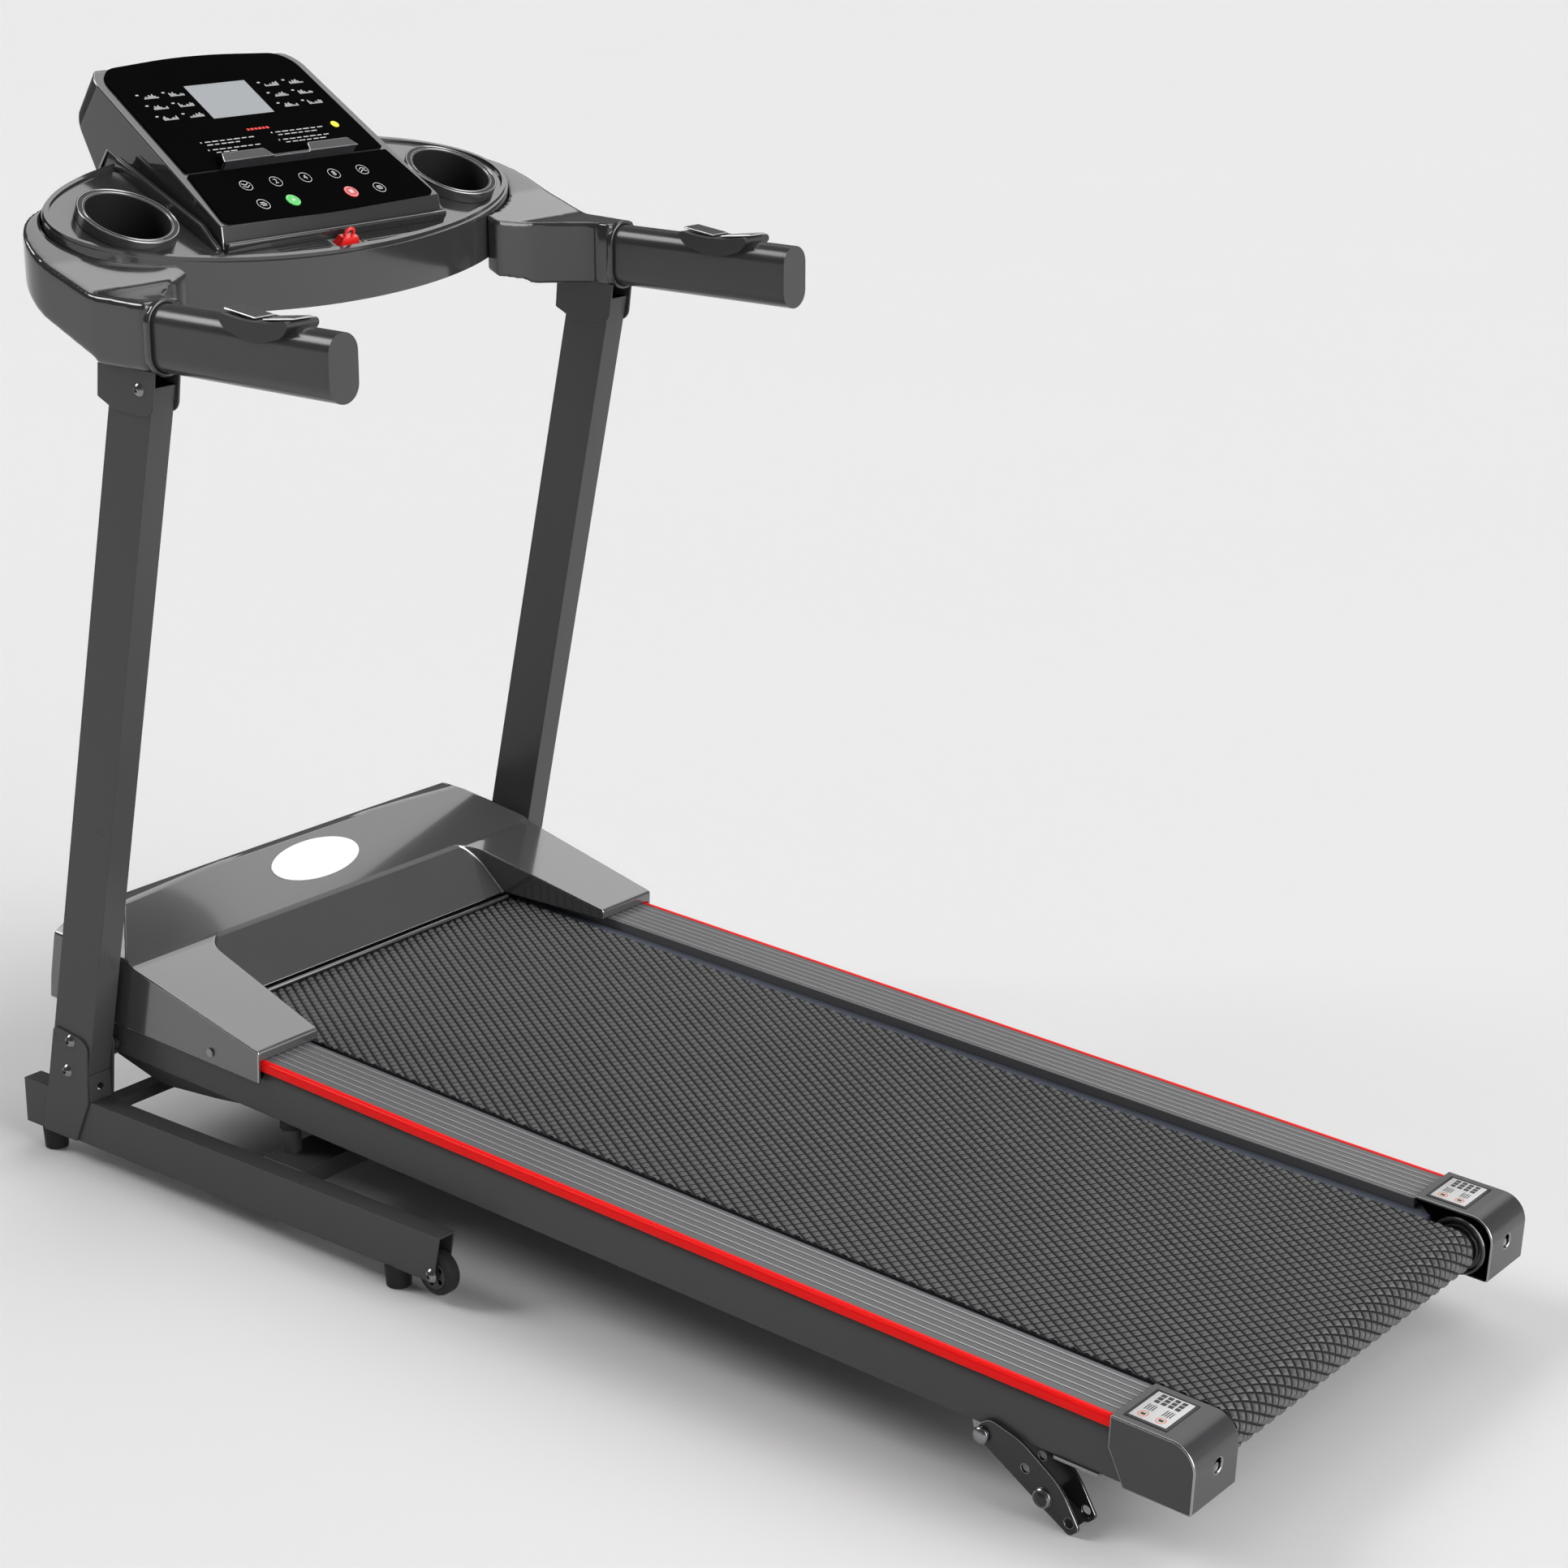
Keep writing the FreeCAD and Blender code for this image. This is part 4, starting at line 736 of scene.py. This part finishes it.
keyMarks = {    # node: column and row
    "key_slower": (-2, 0), "key_speed_2": (-1, 0), "key_speed_4": (0, 0), "key_speed_8": (1, 0),
    "key_faster": (2, 0), "key_program": (-2, 1), "key_start": (-1, 1), "key_stop": (1, 1),
    "key_mode": (2, 1),
}
for node, (column, row) in keyMarks.items():
    across, up = column * panel["keyPitch"], panel["keyRows"][row]
    marks = [ring("keyRing", panel["ringRadius"], panel["ringWire"], (across, up, panel["keyTop"]), 0.6)]
    if node == "key_slower":
        marks += chevrons(across, up, -1)
    elif node == "key_faster":
        marks += chevrons(across, up, 1)
    elif node.startswith("key_speed"):
        marks.append(numeral(node[-1], across, up))
    elif node == "key_start":
        marks.append(disc("playWedge", keyPrint["wedge"], panel["print"],
                          (across, up, panel["keyTop"] + keyPrint["wedgeLift"]), 3))
    elif node == "key_stop":
        marks.append(printed("stopSquare", keyPrint["square"], keyPrint["square"], across, up,
                             panel["keyTop"]))
    else:
        marks += shortBars(across, up)
    mark = onPanel(joined(spokenName(node) + "Mark", marks))
    finish(mark, nodes[node]["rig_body"], finishes["printWhite"], 30)

graphs = {"columns": (-0.093, -0.059, 0.070, 0.1045), "rows": (0.1935, 0.1765, 0.1595),
          "barWide": 0.0013, "barPitch": 0.0024, "heights": (2, 4, 3, 6, 5, 7, 4, 2), "step": 0.0009,
          "below": 0.004, "tag": (0.0035, 0.0016), "tagAt": (-0.0145, 0.003)}
barCount = len(graphs["heights"])
bars = []
for column, across in enumerate(graphs["columns"]):
    for row, up in enumerate(graphs["rows"]):
        for bar in range(barCount):    # each graph starts elsewhere in the same row of heights
            tall = graphs["heights"][(bar + column * 3 + row * 2) % barCount] * graphs["step"]
            bars.append(printed("graphBar", graphs["barWide"], tall,
                                across + (bar - (barCount - 1) / 2) * graphs["barPitch"],
                                up - graphs["below"] + tall / 2))
        bars.append(printed("graphTag", *graphs["tag"], across + graphs["tagAt"][0],
                            up + graphs["tagAt"][1]))

textLines = {    # middle, height up the panel, width
    "leftUpper": (-0.047, 0.1175, 0.068), "leftUpperEnd": (-0.058, 0.1130, 0.046),
    "leftLower": (-0.047, 0.1055, 0.066), "leftLowerEnd": (-0.064, 0.1010, 0.030),
    "rightUpper": (0.050, 0.1200, 0.068), "rightUpperEnd": (0.044, 0.1155, 0.056),
    "rightLower": (0.050, 0.1080, 0.066), "rightLowerEnd": (0.046, 0.1035, 0.058),
}
dashes = {"word": 0.009, "tall": 0.0011, "least": 0.62, "more": 0.11, "dot": 0.0016, "dotOut": 0.004}
for name, (middle, up, width) in textLines.items():
    start = middle - width / 2
    words = max(3, int(width / dashes["word"]))
    for word in range(words):    # three word lengths in turn
        long = width / words * (dashes["least"] + dashes["more"] * ((word * 7 + words) % 3))
        bars.append(printed("textDash", long, dashes["tall"], start + (word + 0.5) * width / words, up))
    if not name.endswith("End"):
        bars.append(printed("lineDot", dashes["dot"], dashes["dot"], start - dashes["dotOut"], up))
whitePrint = onPanel(joined("panelPrint", bars))
finish(whitePrint, "stand", finishes["printWhite"], 30)

redRow = {"count": 6, "wide": (0.0032, 0.0038), "tall": 0.0028, "from": -0.013, "pitch": 0.0052,
          "up": 0.1285}
redMark = [printed("redDash", redRow["wide"][dash % 2], redRow["tall"],
                   redRow["from"] + dash * redRow["pitch"], redRow["up"])
           for dash in range(redRow["count"])]
finish(onPanel(joined("panelRedMark", redMark)), "stand", finishes["printRed"], 30)

dot = {"radius": 0.0048, "thick": 0.0006, "at": (0.1015, 0.1210), "lift": 0.0002, "edge": 0.0002}
yellowDot = disc("panelYellowDot", dot["radius"], dot["thick"],
                 (*dot["at"], panel["overlayTop"] + dot["lift"]), 32, dot["edge"])
finish(onPanel(yellowDot), "stand", finishes["printYellow"], 30)
print("panel print done")


# labels on the rear caps: a plate with two plain rings and short lines

label = {"wide": 0.052, "long": 0.041, "at": (0.2595, -1.2400), "top": 0.0490,
         "border": 0.0030, "borderThick": 0.0008, "borderUp": 0.0002, "borderEdge": 0.0002,
         "plateThick": 0.0004, "plateUp": 0.0007, "plateEdge": 0.0001,
         "ringRadius": 0.0042, "ringWire": 0.0005, "ringOut": -0.0155, "ringUp": 0.0009,
         "halves": (0.0085, -0.0085), "figure": (0.0032, 0.0042),
         "lines": 4, "lineLong": (0.0105, 0.0090), "lineWide": 0.0008, "lineOut": -0.0035,
         "lineFrom": 0.0035, "linePitch": 0.0022,
         "blocks": (3, 4), "block": (0.0042, 0.0045), "blockFrom": (0.0080, -0.0100),
         "blockPitch": (0.0055, 0.0066), "ink": 0.0003, "inkUp": 0.00095}


def inked(name, width, height, across, along):
    return block(name, (width, height, label["ink"]), (across, along, label["top"] + label["inkUp"]))


for side, sideName in ((-1, "Left"), (1, "Right")):
    across, along = side * label["at"][0], label["at"][1]
    border = block("capLabelBorder" + sideName, (label["wide"], label["long"], label["borderThick"]),
                   (across, along, label["top"] + label["borderUp"]), label["borderEdge"])
    plate = block("capLabel" + sideName,
                  (label["wide"] - 2 * label["border"], label["long"] - 2 * label["border"],
                   label["plateThick"]),
                  (across, along, label["top"] + label["plateUp"]), label["plateEdge"])
    rings = []
    dark = []
    for half in label["halves"]:
        rings.append(ring("labelRing", label["ringRadius"], label["ringWire"],
                          (across + label["ringOut"], along + half, label["top"] + label["ringUp"]), 0.5))
        dark.append(inked("labelFigure", *label["figure"], across + label["ringOut"], along + half))
        for line in range(label["lines"]):
            dark.append(inked("labelLine", label["lineLong"][line % 2], label["lineWide"],
                              across + label["lineOut"],
                              along + half + label["lineFrom"] - line * label["linePitch"]))
    for column in range(label["blocks"][0]):
        for row in range(label["blocks"][1]):
            dark.append(inked("labelBlock", *label["block"],
                              across + label["blockFrom"][0] + column * label["blockPitch"][0],
                              along + label["blockFrom"][1] + row * label["blockPitch"][1]))
    finish(settle(border, deckPlace), "deck", finishes["printDark"])
    finish(settle(plate, deckPlace), "deck", finishes["labelWhite"])
    finish(settle(joined("capLabelRings" + sideName, rings), deckPlace), "deck",
           finishes["printOrange"])
    finish(settle(joined("capLabelLines" + sideName, dark), deckPlace), "deck",
           finishes["printDark"])
print("labels done")


# camera, floor and light

view = {"at": (-2.24626, -1.84350, 1.40939), "yaw": 38.2029, "pitch": 18.298, "roll": 0.298,
        "sensor": 36.0, "lens": 73.164, "farthest": 400}
yaw, pitch = math.radians(view["yaw"]), math.radians(view["pitch"])
forward = Vector((math.cos(yaw) * math.cos(pitch), math.sin(yaw) * math.cos(pitch), -math.sin(pitch)))
clearSelection()
bpy.ops.object.camera_add(location=view["at"])
camera = bpy.context.object
camera.name = "studioCamera"
camera.data.lens = view["lens"]
camera.data.sensor_width = view["sensor"]
camera.data.clip_end = view["farthest"]
camera.rotation_euler = (forward.to_track_quat('-Z', 'Y').to_matrix().to_4x4()
                         @ Matrix.Rotation(math.radians(view["roll"]), 4, 'Z')).to_euler()
bpy.context.scene.camera = camera

room = {"floorSize": 400, "floorDown": 0.0005, "floorColour": (0.80, 0.80, 0.80), "floorRough": 0.9,
        "floorShine": 0.1, "floorDrift": 0.01, "floorScale": 0.7, "light": 0.12, "backdrop": 0.71,
        "sun": 0.50, "sunSpread": 30, "sunAim": (-0.28, 0.55, -1), "sunHeight": 4}
clearSelection()
bpy.ops.mesh.primitive_plane_add(size=room["floorSize"], location=(0, 0, -room["floorDown"]))
floor = bpy.context.object
floor.name = "studioFloor"
floorFinish, floorTree, floorShader = newFinish("studioFloor", room["floorColour"], room["floorRough"],
                                                specular=room["floorShine"])
floorDrift = grain(floorTree, room["floorScale"])
floorTree.links.new(tinted(floorTree, floorDrift, room["floorColour"], room["floorDrift"]),
                    floorShader.inputs["Base Color"])
floor.data.materials.append(floorFinish)

studio = bpy.data.worlds.new("studioLight")
bpy.context.scene.world = studio
studio.use_nodes = True
sky = studio.node_tree
softLights = {    # direction, cosine at the soft edge, cosine at the bright middle, brightness
    "slope": ((0.62, 0.22, 0.75), 0.883, 0.940, 1.5),
    "rear": ((0.15, -0.93, 0.28), 0.80, 0.95, 5.0),
    "edges": ((-0.35, 0.67, 0.62), 0.966, 0.984, 8.0),
}
aim = sky.nodes.new("ShaderNodeTexCoord")
total = None
for name, (direction, edge, middle, brightness) in softLights.items():
    facing = sky.nodes.new("ShaderNodeVectorMath")
    facing.operation = 'DOT_PRODUCT'
    facing.inputs[1].default_value = Vector(direction).normalized()
    sky.links.new(aim.outputs["Generated"], facing.inputs[0])
    glow = sky.nodes.new("ShaderNodeMapRange")
    glow.interpolation_type = 'SMOOTHSTEP'
    glow.inputs["From Min"].default_value = edge
    glow.inputs["From Max"].default_value = middle
    glow.inputs["To Max"].default_value = brightness
    sky.links.new(facing.outputs["Value"], glow.inputs["Value"])
    adding = sky.nodes.new("ShaderNodeMath")
    adding.inputs[1].default_value = room["light"]
    if total:
        sky.links.new(total, adding.inputs[1])
    sky.links.new(glow.outputs["Result"], adding.inputs[0])
    total = adding.outputs["Value"]
seen = sky.nodes.new("ShaderNodeLightPath")    # the pale backdrop beyond the floor lights nothing
backdrop = sky.nodes.new("ShaderNodeMath")
backdrop.operation = 'MULTIPLY_ADD'
backdrop.inputs[1].default_value = room["backdrop"]
sky.links.new(seen.outputs["Is Camera Ray"], backdrop.inputs[0])
sky.links.new(total, backdrop.inputs[2])
sky.links.new(backdrop.outputs["Value"], sky.nodes["Background"].inputs["Strength"])
sky.nodes["Background"].inputs["Color"].default_value = (1, 1, 1, 1)

clearSelection()
bpy.ops.object.light_add(type='SUN', location=(0, 0, room["sunHeight"]))
sun = bpy.context.object
sun.name = "softSun"
sun.data.energy = room["sun"]
sun.data.angle = math.radians(room["sunSpread"])
sun.rotation_euler = Vector(room["sunAim"]).to_track_quat('-Z', 'Y').to_euler()
bpy.context.scene.view_settings.view_transform = 'Standard'
print("studio set")
